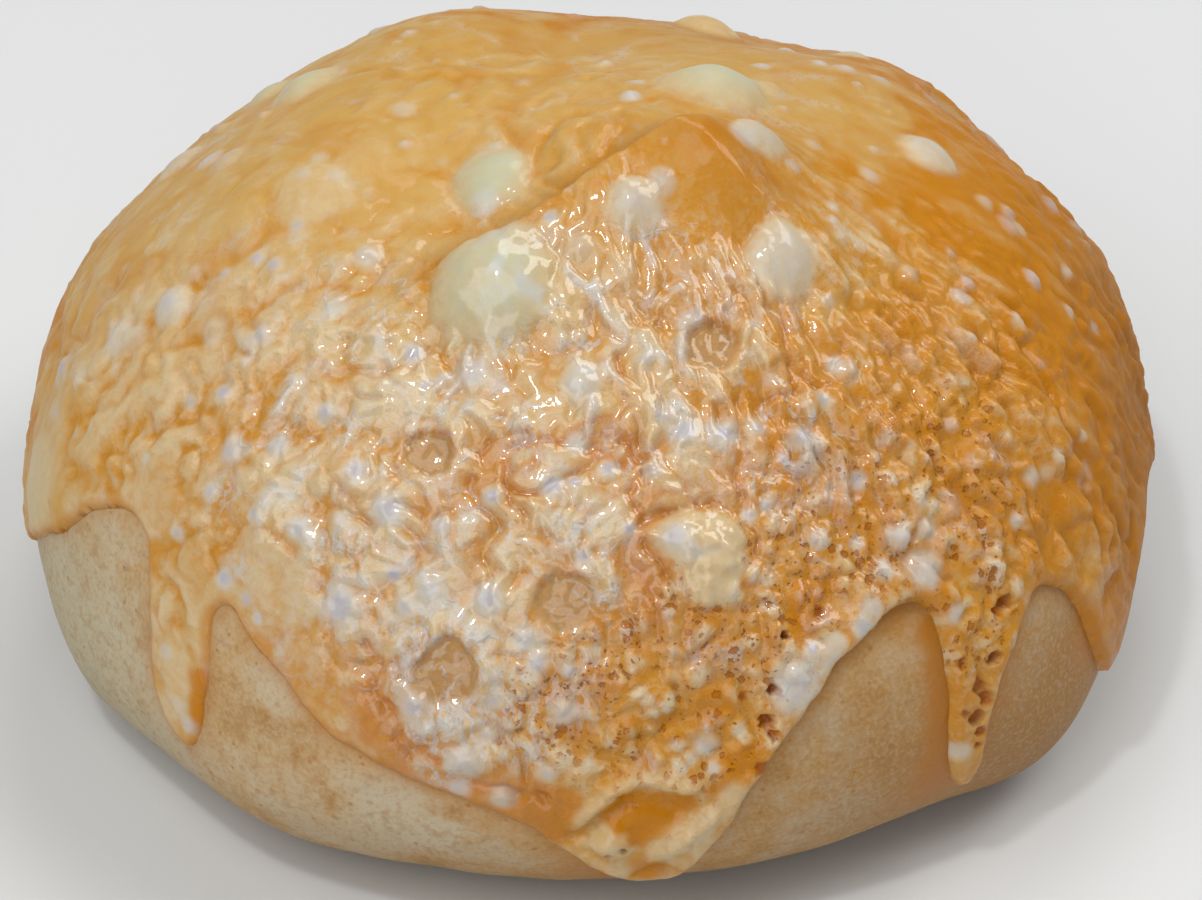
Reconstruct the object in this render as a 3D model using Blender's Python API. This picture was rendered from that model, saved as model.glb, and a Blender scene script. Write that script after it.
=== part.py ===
"""Cheese roll: a round bread roll under one square slice of cheese that melted over it and baked to a crust.

Metres, +Z up. The origin is the middle of the flat base, and -Y is the front, where a corner of
the slice hangs lowest. A place on the roll is a bearing, in degrees from the front and positive
towards +X, and a reach, the distance from the crown down the roll's side.
"""

import math
from collections import namedtuple

import bpy
from mathutils import Vector, noise
from mathutils.kdtree import KDTree

MM = 0.001

# The bread roll: an oval dome on a flat base, widest at the belly.
ROLL_WIDTH = 102 * MM
ROLL_DEPTH = 98.5 * MM
ROLL_HEIGHT = 51.5 * MM
BELLY_HEIGHT = 15.5 * MM
BASE_INSET = 17 * MM
DOME_ROUNDNESS = 1.96
BELLY_ROUNDNESS = 2.1
PROFILE_STEPS = 80
FOOT_FADE = 12 * MM
WOBBLE = 0.6 * MM
WOBBLE_LENGTH = 22 * MM
BREAD_SEGMENTS = 64
BREAD_RINGS = 32

# The slice of cheese: a square laid with a corner to the front.
SLICE_SIDE = 110 * MM
SLICE_TURN = 7
SLICE_SQUARENESS = 14
EDGE_SAMPLES = 1440
CHEESE_THICKNESS = 1.4 * MM
RIM_THICKNESS = 2.1 * MM
RIM_WIDTH = 5.5 * MM
RIM_ROUND = 1.8 * MM
TUCK = 1.5 * MM
GAP = 0.3 * MM
SNAP = 0.9 * MM
PUFF = 0.5 * MM
PUFF_LENGTH = 6.5 * MM
CHEESE_SPHERE = 4
CHEESE_CUTS = 2

# The section of a bubble: a blister's cap, and a crater's ring and floor in shares of its radius.
CAP_FULLNESS = 1.5
RING_RADIUS = 1.15
RING_WIDTH = 0.35
RING_HEIGHT = 0.5
FLOOR_START = 1.05
FLOOR_FLAT = 0.6

BREAD_COLOUR = (0.52, 0.36, 0.19, 1)
CHEESE_COLOUR = (0.79, 0.45, 0.12, 1)
BREAD_ROUGHNESS = 0.75
CHEESE_ROUGHNESS = 0.35

Swell = namedtuple("Swell", "bearing reach height radius")
Fold = namedtuple("Fold", "start end height radius")
Drip = namedtuple("Drip", "bearing left right drop")
Blister = namedtuple("Blister", "bearing reach height radius")
Crater = namedtuple("Crater", "bearing reach depth radius")

# Broad swells and hollows of the whole roll, in mm.
SWELLS = (
    Swell(40, 10, 3.6, 13),
    Swell(-78, 27, 1.6, 11),
    Swell(-46, 14, -1.6, 9),
    Swell(-92, 64, -1.1, 13),
    Swell(-150, 27, 1.2, 11),
    Swell(-178, 17, -1.5, 9),
    Swell(-178, 38, -1.4, 10),
    Swell(150, 33, -1.8, 9),
    Swell(118, 27, 1.0, 10),
    Swell(116, 40, -0.6, 8),
    Swell(132, 41, 1.0, 9),
    Swell(104, 50, 0.6, 10),
    Swell(86, 64, -1.5, 13),
    Swell(54, 79, 2.1, 9),
    Swell(12, 47, 1.2, 7),
    Swell(-54, 62, -1.0, 9),
    Swell(-34, 78, 1.0, 10),
    Swell(-66, 81, 2.0, 8),
)

# Folds of the slice over the crown, each from one (bearing, reach) to another, in mm.
FOLDS = (
    Fold((-35, 27), (-14, 16), 1.4, 3.2),
    Fold((-14, 16), (46, 10.5), 1.7, 3.6),
    Fold((46, 10.5), (50, 26), 1.6, 4.0),
    Fold((-80, 33), (-76, 18), 0.9, 4.0),
)

# Where the slice's edge sagged below the square or drew up, in degrees to each side, and mm.
DRIPS = (
    Drip(7.5, 8, 3.5, 3.8),
    Drip(-18, 22, 45, 8),
    Drip(24, 5, 16, -4.7),
    Drip(38.5, 1.8, 17, 17.5),
    Drip(63, 13, 17, 18.5),
    Drip(128, 12, 9, 9),
    Drip(-172, 16, 20, 6),
    Drip(-128, 7, 9, 10),
    Drip(-84, 12, 10, 3),
    Drip(-59, 8, 10, -3.6),
    Drip(-42, 9, 2.5, 15.5),
)

# Air bubbles that lifted the slice, in mm.
BLISTERS = (
    Blister(-21, 24, 2.2, 4.8),
    Blister(-46, 12.5, 1.5, 4.2),
    Blister(117, 12, 1.6, 4.4),
    Blister(44, 24, 1.8, 3.5),
    Blister(15, 15, 1.4, 2.9),
    Blister(78, 14.5, 1.2, 2.6),
    Blister(99, 31, 1.4, 2.8),
    Blister(-2, 32.5, 1.4, 2.3),
    Blister(-71, 40, 1.1, 2.6),
    Blister(-74, 46.5, 1.1, 2.7),
    Blister(-27, 54.5, 1.1, 2.6),
    Blister(12, 45.5, 1.5, 4.2),
    Blister(36, 54, 1.3, 2.8),
    Blister(-12, 65, 1.1, 3.0),
    Blister(-10, 51.5, 0.9, 2.4),
    Blister(1.5, 73, 1.2, 2.6),
    Blister(160, 34, 1.5, 3.6),
    Blister(-158, 40, 1.3, 3.2),
    Blister(-120, 30, 1.4, 3.4),
    Blister(-140, 52, 1.2, 2.8),
    Blister(135, 52, 1.2, 3.0),
    Blister(178, 58, 1.3, 3.2),
)

# Bubbles that burst, each a raised ring round a toasted floor, in mm.
CRATERS = (
    Crater(-21, 39.5, 0.9, 2.5),
    Crater(20, 31, 0.9, 2.6),
    Crater(-2, 51, 1.0, 2.9),
    Crater(-14, 57, 1.0, 3.2),
    Crater(-170, 46, 0.9, 2.9),
    Crater(122, 40, 0.9, 2.7),
)


def half_profile():
    """The roll's section from the crown to the middle of the base, as (radius, height, reach)."""
    belly = (ROLL_WIDTH + ROLL_DEPTH) / 4
    turns = [math.pi / 2 * i / PROFILE_STEPS for i in range(PROFILE_STEPS + 1)]
    section = []
    for turn in turns:
        lift = max(0, math.cos(turn)) ** (2 / DOME_ROUNDNESS)
        radius = belly * math.sin(turn) ** (2 / DOME_ROUNDNESS)
        section.append((radius, BELLY_HEIGHT + (ROLL_HEIGHT - BELLY_HEIGHT) * lift))
    for turn in turns[1:]:
        spread = max(0, math.cos(turn)) ** (2 / BELLY_ROUNDNESS)
        height = BELLY_HEIGHT * (1 - math.sin(turn) ** (2 / BELLY_ROUNDNESS))
        section.append((belly - BASE_INSET * (1 - spread), height))
    section.append((0, 0))
    reach = 0
    profile = [(*section[0], reach)]
    for before, after in zip(section, section[1:]):
        reach += math.dist(before, after)
        profile.append((*after, reach))
    return profile


PROFILE = half_profile()
BASE_REACH = PROFILE[-2][2]
FULL_REACH = PROFILE[-1][2]


def smooth_step(low, high, value):
    """0 at low and 1 at high, easing in between; high may be the lower number."""
    share = min(1, max(0, (value - low) / (high - low)))
    return share * share * (3 - 2 * share)


def place(bearing, reach):
    """The point of the plain roll at a bearing, in degrees, and a reach, in metres."""
    after = next((i for i, step in enumerate(PROFILE) if step[2] >= reach), len(PROFILE) - 1)
    start, end = PROFILE[max(0, after - 1)], PROFILE[max(1, after)]
    share = min(1, (reach - start[2]) / (end[2] - start[2]))
    radius = start[0] + (end[0] - start[0]) * share
    height = start[1] + (end[1] - start[1]) * share
    across, along = math.sin(math.radians(bearing)), -math.cos(math.radians(bearing))
    oval = 1 / math.hypot(across / (ROLL_WIDTH / 2), along / (ROLL_DEPTH / 2))
    radius *= oval / ((ROLL_WIDTH + ROLL_DEPTH) / 4)
    return Vector((radius * across, radius * along, height))


def address(direction):
    """The bearing and reach that a direction from the middle of a plain sphere stands for."""
    polar = direction.angle(Vector((0, 0, 1)))
    return math.degrees(math.atan2(direction.x, -direction.y)), FULL_REACH * polar / math.pi


def slice_edge(bearing):
    """The reach of the slice's edge at a bearing: a square laid on its corner, with its drips."""
    angle = math.radians(bearing - SLICE_TURN + 45)
    sides = abs(math.cos(angle)) ** SLICE_SQUARENESS + abs(math.sin(angle)) ** SLICE_SQUARENESS
    reach = SLICE_SIDE / 2 / sides ** (1 / SLICE_SQUARENESS)
    for drip in DRIPS:
        away = (bearing - drip.bearing + 180) % 360 - 180
        share = abs(away) / (drip.left if away < 0 else drip.right)
        reach += drip.drop * MM * max(0, 1 - share)
    return reach


def edge_tree():
    """The slice's edge as points that the nearest can be found among."""
    tree = KDTree(EDGE_SAMPLES)
    for i in range(EDGE_SAMPLES):
        bearing = 360 * i / EDGE_SAMPLES
        tree.insert(place(bearing, slice_edge(bearing)), i)
    tree.balance()
    return tree


def placed(features):
    """Each feature with the point of the plain roll where it lies."""
    return [(place(feature.bearing, feature.reach * MM), feature) for feature in features]


EDGE = edge_tree()
SWELL_PLACES = placed(SWELLS)
BLISTER_PLACES = placed(BLISTERS)
CRATER_PLACES = placed(CRATERS)
FOLD_LINES = [[place(bearing, reach * MM) for bearing, reach in fold[:2]] for fold in FOLDS]


def bread_lift(point, reach):
    """How far the roll's skin stands out from the plain roll at a point of it."""
    lift = WOBBLE * noise.noise(point / WOBBLE_LENGTH)
    for middle, swell in SWELL_PLACES:
        away = (point - middle).length / (swell.radius * MM)
        lift += swell.height * MM * math.exp(-away * away)
    return lift * smooth_step(BASE_REACH, BASE_REACH - FOOT_FADE, reach)


def fold_lift(point):
    """How far the slice stands up in folds at a point."""
    lift = 0
    for (start, end), fold in zip(FOLD_LINES, FOLDS):
        run = end - start
        share = min(1, max(0, (point - start).dot(run) / run.length_squared))
        away = (point - start - run * share).length / (fold.radius * MM)
        lift += fold.height * MM * math.exp(-away * away)
    return lift


def bubble_lift(point):
    """How far the blisters and craters raise or sink the slice's top at a point."""
    lift = 0
    for middle, blister in BLISTER_PLACES:
        away = (point - middle).length / (blister.radius * MM)
        lift += blister.height * MM * max(0, 1 - away * away) ** CAP_FULLNESS
    for middle, crater in CRATER_PLACES:
        away = (point - middle).length / (crater.radius * MM)
        ring = math.exp(-(((away - RING_RADIUS) / RING_WIDTH) ** 2))
        lift += crater.depth * MM * (RING_HEIGHT * ring - smooth_step(FLOOR_START, FLOOR_FLAT, away))
    return lift


def cheese_lift(point, inside):
    """How far the slice's top stands out from the roll's skin, this far inside the slice's edge."""
    if inside <= 0:
        return -TUCK * min(1, -inside / SNAP)
    thickness = RIM_THICKNESS + (CHEESE_THICKNESS - RIM_THICKNESS) * smooth_step(0, RIM_WIDTH, inside)
    puff = PUFF * (2 * abs(noise.noise(point / PUFF_LENGTH)) - 0.5)
    rounding = math.sqrt(1 - (1 - min(1, inside / RIM_ROUND)) ** 2)
    return rounding * (thickness + puff + fold_lift(point) + bubble_lift(point))


def move_out(piece, lifts):
    """Move each corner of a piece out along the surface by its own lift."""
    piece.data.update()
    outward = [vertex.normal.copy() for vertex in piece.data.vertices]
    for vertex, normal, lift in zip(piece.data.vertices, outward, lifts):
        vertex.co += normal * lift


def bread(name, clearance=0):
    """The bread roll, or the same form with its whole skin moved out by a clearance."""
    bpy.ops.mesh.primitive_uv_sphere_add(segments=BREAD_SEGMENTS, ring_count=BREAD_RINGS, radius=1)
    roll = bpy.context.object
    roll.name = name
    lifts = []
    for vertex in roll.data.vertices:
        bearing, reach = address(vertex.co)
        vertex.co = place(bearing, reach)
        lifts.append(clearance + bread_lift(vertex.co, reach))
    move_out(roll, lifts)
    return roll


def cheese(name, under):
    """The melted slice: a thin shell over the roll, cut to lie on the form under it."""
    bpy.ops.mesh.primitive_ico_sphere_add(subdivisions=CHEESE_SPHERE, radius=1)
    bpy.ops.object.mode_set(mode="EDIT")
    bpy.ops.mesh.subdivide(number_cuts=CHEESE_CUTS)
    bpy.ops.object.mode_set(mode="OBJECT")
    crust = bpy.context.object
    crust.name = name
    lifts = []
    for vertex in crust.data.vertices:
        bearing, reach = address(vertex.co)
        vertex.co = place(bearing, reach)
        nearest, _, away = EDGE.find(vertex.co)
        if away < SNAP:
            vertex.co, away = nearest, 0
        inside = away if reach < slice_edge(bearing) else -away
        lifts.append(bread_lift(vertex.co, reach) + cheese_lift(vertex.co, inside))
    move_out(crust, lifts)
    cut = crust.modifiers.new("roll", "BOOLEAN")
    cut.operation = "DIFFERENCE"
    cut.solver = "EXACT"
    cut.object = under
    return crust


def finish(piece, collection, colour, roughness):
    """Give a piece its material and smooth shading, and file it in its collection."""
    material = bpy.data.materials.new(piece.name)
    material.use_nodes = True
    shader = material.node_tree.nodes["Principled BSDF"]
    shader.inputs["Base Color"].default_value = colour
    shader.inputs["Roughness"].default_value = roughness
    piece.data.materials.append(material)
    piece.data.shade_smooth()
    file_in(piece, collection)


def file_in(piece, collection):
    """Move a piece to one collection."""
    for other in list(piece.users_collection):
        other.objects.unlink(piece)
    collection.objects.link(piece)


def main():
    """Model the roll and its slice of cheese."""
    for thing in list(bpy.data.objects):
        bpy.data.objects.remove(thing, do_unlink=True)
    cheese_roll = bpy.data.collections.new("cheese_roll")
    cutters = bpy.data.collections.new("cutters")
    for collection in (cheese_roll, cutters):
        bpy.context.scene.collection.children.link(collection)

    under = bread("bread_clearance", GAP)
    under.hide_render = True
    under.display_type = "WIRE"
    file_in(under, cutters)

    finish(bread("bread_roll"), cheese_roll, BREAD_COLOUR, BREAD_ROUGHNESS)
    finish(cheese("cheese_crust", under), cheese_roll, CHEESE_COLOUR, CHEESE_ROUGHNESS)


main()
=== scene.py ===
"""Looks of a cheese roll: a round bread roll under a slice of cheese that melted over it and baked.

A place on the roll is a bearing, in degrees from the front (-Y) and positive towards +X, and a reach,
the distance in millimetres from the crown down the roll's side. Shapes are worked out in millimetres
and go into the meshes in metres. The whole numbers given to Grain, waves and drift are seeds.
"""

import itertools
import logging
import math
from dataclasses import dataclass, field
from enum import Enum
from functools import partialmethod

import bpy
import numpy as np
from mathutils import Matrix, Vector
from mathutils.kdtree import KDTree


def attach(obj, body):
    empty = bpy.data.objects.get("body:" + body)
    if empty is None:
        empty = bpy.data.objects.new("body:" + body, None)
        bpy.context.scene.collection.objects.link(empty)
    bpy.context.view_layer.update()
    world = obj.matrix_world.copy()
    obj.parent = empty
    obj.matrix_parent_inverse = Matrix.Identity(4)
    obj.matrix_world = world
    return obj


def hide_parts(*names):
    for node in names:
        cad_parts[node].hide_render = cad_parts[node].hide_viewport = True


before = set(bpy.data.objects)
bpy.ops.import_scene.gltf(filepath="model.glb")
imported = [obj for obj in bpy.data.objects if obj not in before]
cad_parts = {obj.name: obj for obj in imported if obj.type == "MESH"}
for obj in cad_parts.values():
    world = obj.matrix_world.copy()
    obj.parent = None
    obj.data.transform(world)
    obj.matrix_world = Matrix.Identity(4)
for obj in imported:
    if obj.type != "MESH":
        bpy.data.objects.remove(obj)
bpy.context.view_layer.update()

MM = 0.001
Array = np.ndarray
Place = tuple[float, float]
Colour = tuple[float, float, float]


def ease(low: float, high: float, value: Array) -> Array:
    """Ease from 0 at low to 1 at high.

    Args:
        low: Where the result is 0.
        high: Where the result is 1. It may be the lower number.
        value: The values to ease.

    Returns:
        A share from 0 to 1 for each value.
    """
    share = np.clip((value - low) / (high - low), 0, 1)
    return share * share * (3 - 2 * share)


def bell(value: Array, width: float | Array = 1.0) -> Array:
    """1 at 0, falling off evenly to both sides over a width."""
    return np.exp(-((value / width) ** 2))


def rows(kind: type, *numbers: tuple) -> tuple:
    """One record of a kind for each row of numbers."""
    return tuple(kind(*row) for row in numbers)


class Grain:
    """Seeded random patterns in space, the same at each run."""

    TABLE = 256

    def __init__(self, seed: int) -> None:
        """Draw the pattern's tables.

        Args:
            seed: The number that the pattern follows from.
        """
        draw = np.random.default_rng(seed)
        self.order = np.tile(draw.permutation(self.TABLE), 2)
        slopes = draw.normal(size=(self.TABLE, 3))
        self.slopes = slopes / np.linalg.norm(slopes, axis=1, keepdims=True)
        self.offsets = draw.random((self.TABLE, 3))
        self.lots = draw.random(self.TABLE)

    def pick(self, cell: Array) -> Array:
        """The table entry of each whole-numbered cell of space."""
        x, y, z = (cell[:, i] & (self.TABLE - 1) for i in range(3))
        return self.order[self.order[self.order[x] + y] + z]

    def waves(self, points: Array, size: float) -> Array:
        """Soft noise.

        Args:
            points: Where to read it, in mm.
            size: The width of a wave, in mm.

        Returns:
            A value from about -1 to 1 at each point.
        """
        spread = 1.7
        scaled = points / size
        cell = np.floor(scaled).astype(int)
        part = scaled - cell
        blend = part ** 3 * (part * (part * 6 - 15) + 10)
        total = np.zeros(len(points))
        for corner in itertools.product((0, 1), repeat=3):
            toward = np.array(corner)
            slope = self.slopes[self.pick(cell + toward)]
            weight = np.where(toward, blend, 1 - blend).prod(axis=1)
            total += weight * ((part - toward) * slope).sum(axis=1)
        return total * spread

    def spots(self, points: Array, size: float) -> tuple[Array, Array, Array]:
        """Scattered dots, one to each cell of space.

        Args:
            points: Where to read them, in mm.
            size: The mean distance between dots, in mm.

        Returns:
            The distance to the nearest dot and to the next, in mm, and the nearest one's lot from 0 to 1.
        """
        scaled = points / size
        cell = np.floor(scaled).astype(int)
        nearest = np.full(len(points), np.inf)
        second = nearest.copy()
        lot = np.zeros(len(points))
        for step in itertools.product((-1, 0, 1), repeat=3):
            around = cell + np.array(step)
            entry = self.pick(around)
            away = np.linalg.norm(around + self.offsets[entry] - scaled, axis=1)
            closer = away < nearest
            second = np.where(closer, nearest, np.minimum(second, away))
            lot = np.where(closer, self.lots[entry], lot)
            nearest = np.where(closer, away, nearest)
        return nearest * size, second * size, lot


def drift(points: Array, size: float, seed: int) -> Array:
    """Soft pushes to all sides, one row for each point, from three patterns in a row of seeds."""
    return np.stack([Grain(seed + i).waves(points, size) for i in range(3)], axis=1)


@dataclass(frozen=True)
class Mark:
    """Something round on the roll, with its bearing in degrees and the rest in mm."""

    bearing: float
    reach: float
    radius: float


@dataclass(frozen=True)
class Patch(Mark):
    """A soft-edged area."""

    strength: float = 1.0


@dataclass(frozen=True)
class Swell(Mark):
    """A broad rise or hollow of the whole roll."""

    height: float


class Tint(Enum):
    """The colour of a blister."""

    GREEN = "green"
    WHITE = "white"
    CREAM = "cream"


@dataclass(frozen=True)
class Blister(Mark):
    """An air bubble under the slice, as high as it says, with a share of its tint over the cream."""

    height: float
    strength: float = 0.0
    dark_middle: float = 0.0


@dataclass(frozen=True)
class Spot(Mark):
    """A small bubble that shows as a pale spot, perhaps with a dark middle."""

    white: float
    middle: float


@dataclass(frozen=True)
class Crater(Mark):
    """A bubble that burst: a raised ring round a toasted floor."""

    depth: float


@dataclass(frozen=True)
class Fold:
    """A ridge of the slice, gentle on its left and steep on its right, as it runs through its knots.

    Each knot is a bearing, a reach and a height in mm.
    """

    knots: tuple[tuple[float, float, float], ...]
    gentle: float
    steep: float
    cream: float = 0.0
    # brown: how strong the painted shadow down the steep side is
    brown: float = 0.0


@dataclass(frozen=True)
class Crease:
    """A sharp fold that sank in, through places of bearing and reach, with its half width in mm."""

    knots: tuple[Place, ...]
    width: float
    strength: float = 1.0


@dataclass
class Form:
    """The plain roll and its swells, as the frame has them, in mm."""

    width: float = 102.0
    depth: float = 98.5
    height: float = 51.5
    belly_height: float = 15.5
    base_inset: float = 17.0
    dome_roundness: float = 1.96
    belly_roundness: float = 2.1
    foot_fade: float = 12.0
    wobble: float = 0.6
    wobble_length: float = 22.0
    wobble_seed: int = 5
    steps: int = 200
    swells: tuple[Swell, ...] = rows(
        Swell,
        (40, 10, 13, 3.6), (-78, 27, 11, 1.6), (-46, 14, 9, -1.6), (-92, 64, 13, -1.1), (-150, 27, 11, 1.2),
        (-178, 17, 9, -1.5), (-178, 38, 10, -1.4), (150, 33, 9, -1.8), (118, 27, 10, 1), (116, 40, 8, -0.6),
        (132, 41, 9, 1), (104, 50, 10, 0.6), (86, 64, 13, -1.5), (54, 79, 9, 2.1), (12, 47, 7, 1.2),
        (-54, 62, 9, -1), (-34, 78, 10, 1), (-66, 81, 8, 2),
    )

    def __post_init__(self) -> None:
        """Work out the section from the crown to the middle of the base."""
        turn = np.linspace(0, math.pi / 2, self.steps)
        shrink = np.clip(np.cos(turn), 0, 1)
        self.belly = (self.width + self.depth) / 4
        dome_radius = self.belly * np.sin(turn) ** (2 / self.dome_roundness)
        dome_height = shrink ** (2 / self.dome_roundness) * (self.height - self.belly_height)
        under_radius = self.belly - self.base_inset * (1 - shrink ** (2 / self.belly_roundness))
        under_height = self.belly_height * (1 - np.sin(turn) ** (2 / self.belly_roundness))
        self.radii = np.concatenate([dome_radius, under_radius[1:], [0]])
        self.heights = np.concatenate([self.belly_height + dome_height, under_height[1:], [0]])
        lengths = np.hypot(np.diff(self.radii), np.diff(self.heights))
        self.reaches = np.concatenate([[0], np.cumsum(lengths)])
        self.base_reach = self.reaches[-2]
        self.full_reach = self.reaches[-1]

    def place(self, bearing: Array, reach: Array) -> Array:
        """Points of the plain roll.

        Args:
            bearing: In degrees.
            reach: In mm.

        Returns:
            One row of x, y and z in mm for each place.
        """
        across, along = np.sin(np.radians(bearing)), -np.cos(np.radians(bearing))
        oval = 1 / np.hypot(across / (self.width / 2), along / (self.depth / 2))
        radius = np.interp(reach, self.reaches, self.radii) * oval / self.belly
        height = np.interp(reach, self.reaches, self.heights)
        return np.stack([radius * across, radius * along, height], axis=-1)

    def outward(self, bearing: Array, reach: Array) -> Array:
        """The direction straight out of the plain roll.

        Args:
            bearing: In degrees.
            reach: In mm.

        Returns:
            One row for each place, of length 1.
        """
        step = 0.2
        upper = np.maximum(reach - step, step / 4)
        lower = np.minimum(reach + step, self.full_reach - step / 4)
        down = self.place(bearing, lower) - self.place(bearing, upper)
        side = self.place(bearing + step, reach) - self.place(bearing - step, reach)
        normal = np.cross(side, down)
        flat = np.linalg.norm(normal, axis=1, keepdims=True) < 1e-9
        below = reach > self.base_reach
        normal = np.where(flat, np.where(below[:, None], [[0, 0, -1]], [[0, 0, 1]]), normal)
        normal /= np.linalg.norm(normal, axis=1, keepdims=True)
        facing = np.where(below, -normal[:, 2], (normal * self.place(bearing, reach)).sum(axis=1))
        return normal * np.where(facing < 0, -1, 1)[:, None]

    def away(self, points: Array, mark: Mark) -> Array:
        """The distance of each point from a mark, in the mark's radii."""
        middle = self.place(np.array(mark.bearing), np.array(mark.reach))
        return np.linalg.norm(points - middle, axis=1) / mark.radius

    def cover(self, points: Array, patches: tuple[Patch, ...]) -> Array:
        """The sum of soft patches at each point."""
        return sum(patch.strength * bell(self.away(points, patch)) for patch in patches)

    def area(self, points: Array, patches: tuple[Patch, ...]) -> Array:
        """How much each point belongs to an area made of soft patches, from 0 to 1."""
        return np.clip(self.cover(points, patches), 0, 1)

    def torn(self, points: Array, patches: tuple[Patch, ...], size: float, seed: int) -> Array:
        """How much each point belongs to patches with ragged, clearer edges.

        Args:
            points: On the plain roll, in mm.
            patches: The patches.
            size: The width of the tatters at their edges, in mm.
            seed: The number that the tatters follow from.

        Returns:
            A share from 0 to 1 for each point.
        """
        finer = 2.3
        total = self.cover(points, patches)
        ragged = Grain(seed).waves(points, size) + 0.5 * Grain(seed + 1).waves(points, size / finer)
        return ease(0.2, 0.8, total * (1 + 0.5 * ragged) + 0.12 * ragged * ease(0, 0.2, total))

    def above_foot(self, reach: Array) -> Array:
        """1 over the roll's sides, easing to 0 at the flat base."""
        return ease(self.base_reach, self.base_reach - self.foot_fade, reach)

    def lift(self, points: Array, reach: Array) -> Array:
        """How far the roll's skin stands out from the plain roll.

        Args:
            points: On the plain roll, in mm.
            reach: The reach of each, in mm.

        Returns:
            One height for each point, in mm.
        """
        lift = self.wobble * Grain(self.wobble_seed).waves(points, self.wobble_length)
        for swell in self.swells:
            lift += swell.height * bell(self.away(points, swell))
        return lift * self.above_foot(reach)


@dataclass
class Edge:
    """Where the slice's edge ran: its corners hung down and its drips ran further, in mm."""

    form: Form
    samples: int = 7200
    waver: tuple[Place, ...] = ((9, 0.5), (3.2, 0.28), (1.3, 0.10))
    waver_seed: int = 31
    course: tuple[Place, ...] = (
        (-90, 67), (-85, 71.5), (-80, 71), (-75, 67.5), (-70, 63.3), (-66, 60), (-62.5, 56.8), (-59.5, 55),
        (-56.7, 53.7), (-54, 54), (-52.4, 55.7), (-51.3, 58.5), (-50.2, 62), (-49.2, 65.5), (-47.8, 68),
        (-46, 70), (-43.9, 71), (-42, 70.6), (-40.9, 68), (-40.6, 64.5), (-40.9, 60.5), (-41.3, 57.4),
        (-40.3, 56), (-38, 56.5), (-34.8, 58), (-31, 59.7), (-28, 62), (-24.2, 63.8), (-20.8, 64.6),
        (-17, 65.5), (-12.5, 66.4), (-9, 67.4), (-5.5, 69), (-2.5, 71.2), (0, 72.6), (2.8, 74), (5.7, 74.7),
        (8.7, 74), (10.7, 72.2), (12.3, 70.2), (13.8, 68.4), (14.8, 66.6), (16.2, 64.7), (18, 63),
        (19.8, 61.4), (21.6, 59.8), (23.4, 58.2), (25.4, 56.6), (28.3, 55.2), (31, 54.2), (33.4, 53.7),
        (35.3, 54), (36.5, 55.7), (37, 59), (37.1, 63), (36.9, 67), (37.2, 71), (38.6, 73.5), (40.1, 73.3),
        (40.7, 71), (40.9, 68.8), (41.6, 66.2), (43.2, 63.6), (45.3, 61.3), (47.2, 59.2), (49.2, 58.1),
        (51.6, 58.7), (53.9, 60.6), (55.6, 63.4), (56.9, 66.6), (58.2, 69.8), (60, 71.8), (62.5, 71.4),
        (65, 69), (69, 66), (74, 64), (79, 63.7), (84, 65.3), (89, 68.8), (94, 71.7), (99, 71.5), (104, 68),
        (109, 64.4), (114, 62.3), (120, 62.6), (126, 63.5), (132, 60.8), (138, 56.8), (145, 55.3),
        (152, 56), (159, 57.6), (166, 60.5), (173, 65.5), (180, 71.6), (-175, 75.6), (-169, 75),
        (-163, 69.8), (-156, 63.2), (-149, 59), (-142, 57.2), (-136, 58.3), (-130, 61), (-125, 60.8),
        (-119, 57.4), (-112, 56.8), (-105, 59.3), (-98, 62.8),
    )

    def __post_init__(self) -> None:
        """Draw the course smoothly, and lay points along it that the nearest can be found among."""
        knots = flat_spot(*np.array(self.course, float).T)
        count = len(knots)
        steps = np.linspace(0, count, self.samples, endpoint=False)
        at = steps.astype(int)
        part = (steps - at)[:, None]
        before, start, end, after = (knots[(at + i) % count] for i in (-1, 0, 1, 2))
        path = 0.5 * (2 * start + (end - before) * part
                      + (2 * before - 5 * start + 4 * end - after) * part ** 2
                      + (3 * start - before - 3 * end + after) * part ** 3)
        along = np.roll(path, -1, axis=0) - np.roll(path, 1, axis=0)
        side = np.stack([along[:, 1], -along[:, 0]], axis=1) / np.linalg.norm(along, axis=1, keepdims=True)
        spots = np.column_stack([path, np.zeros(self.samples)])
        for i, (size, amount) in enumerate(self.waver):
            path = path + side * (amount * Grain(self.waver_seed + i).waves(spots, size))[:, None]
        self.points = self.form.place(*from_flat(path))
        self.run = np.roll(self.points, -1, axis=0) - np.roll(self.points, 1, axis=0)
        self.tree = near_tree(self.points)

    def inside(self, points: Array, outward: Array) -> tuple[Array, Array]:
        """Measure places against the edge.

        Args:
            points: On the plain roll, in mm.
            outward: The way out of the roll at each.

        Returns:
            How far inside the edge each point lies, negative outside it, and the edge's nearest point.
        """
        found = [self.tree.find(point) for point in points]
        index = np.array([spot[1] for spot in found])
        away = np.array([spot[2] for spot in found])
        turn = np.cross(self.run[index], points - self.points[index])
        return away * np.where((turn * outward).sum(axis=1) > 0, 1, -1), self.points[index]


def near_tree(points: Array) -> KDTree:
    """Make a tree that the nearest of some points can be found in.

    Args:
        points: One row each.

    Returns:
        The tree.
    """
    tree = KDTree(len(points))
    for i, point in enumerate(points):
        tree.insert(point, i)
    tree.balance()
    return tree


def flat_spot(bearing: Array, reach: Array) -> Array:
    """Lay places out flat round the crown."""
    return np.stack([reach * np.sin(np.radians(bearing)), -reach * np.cos(np.radians(bearing))], axis=1)


def from_flat(spots: Array) -> tuple[Array, Array]:
    """The bearing and reach of places that were laid out flat."""
    return np.degrees(np.arctan2(spots[:, 0], -spots[:, 1])), np.linalg.norm(spots, axis=1)


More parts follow.
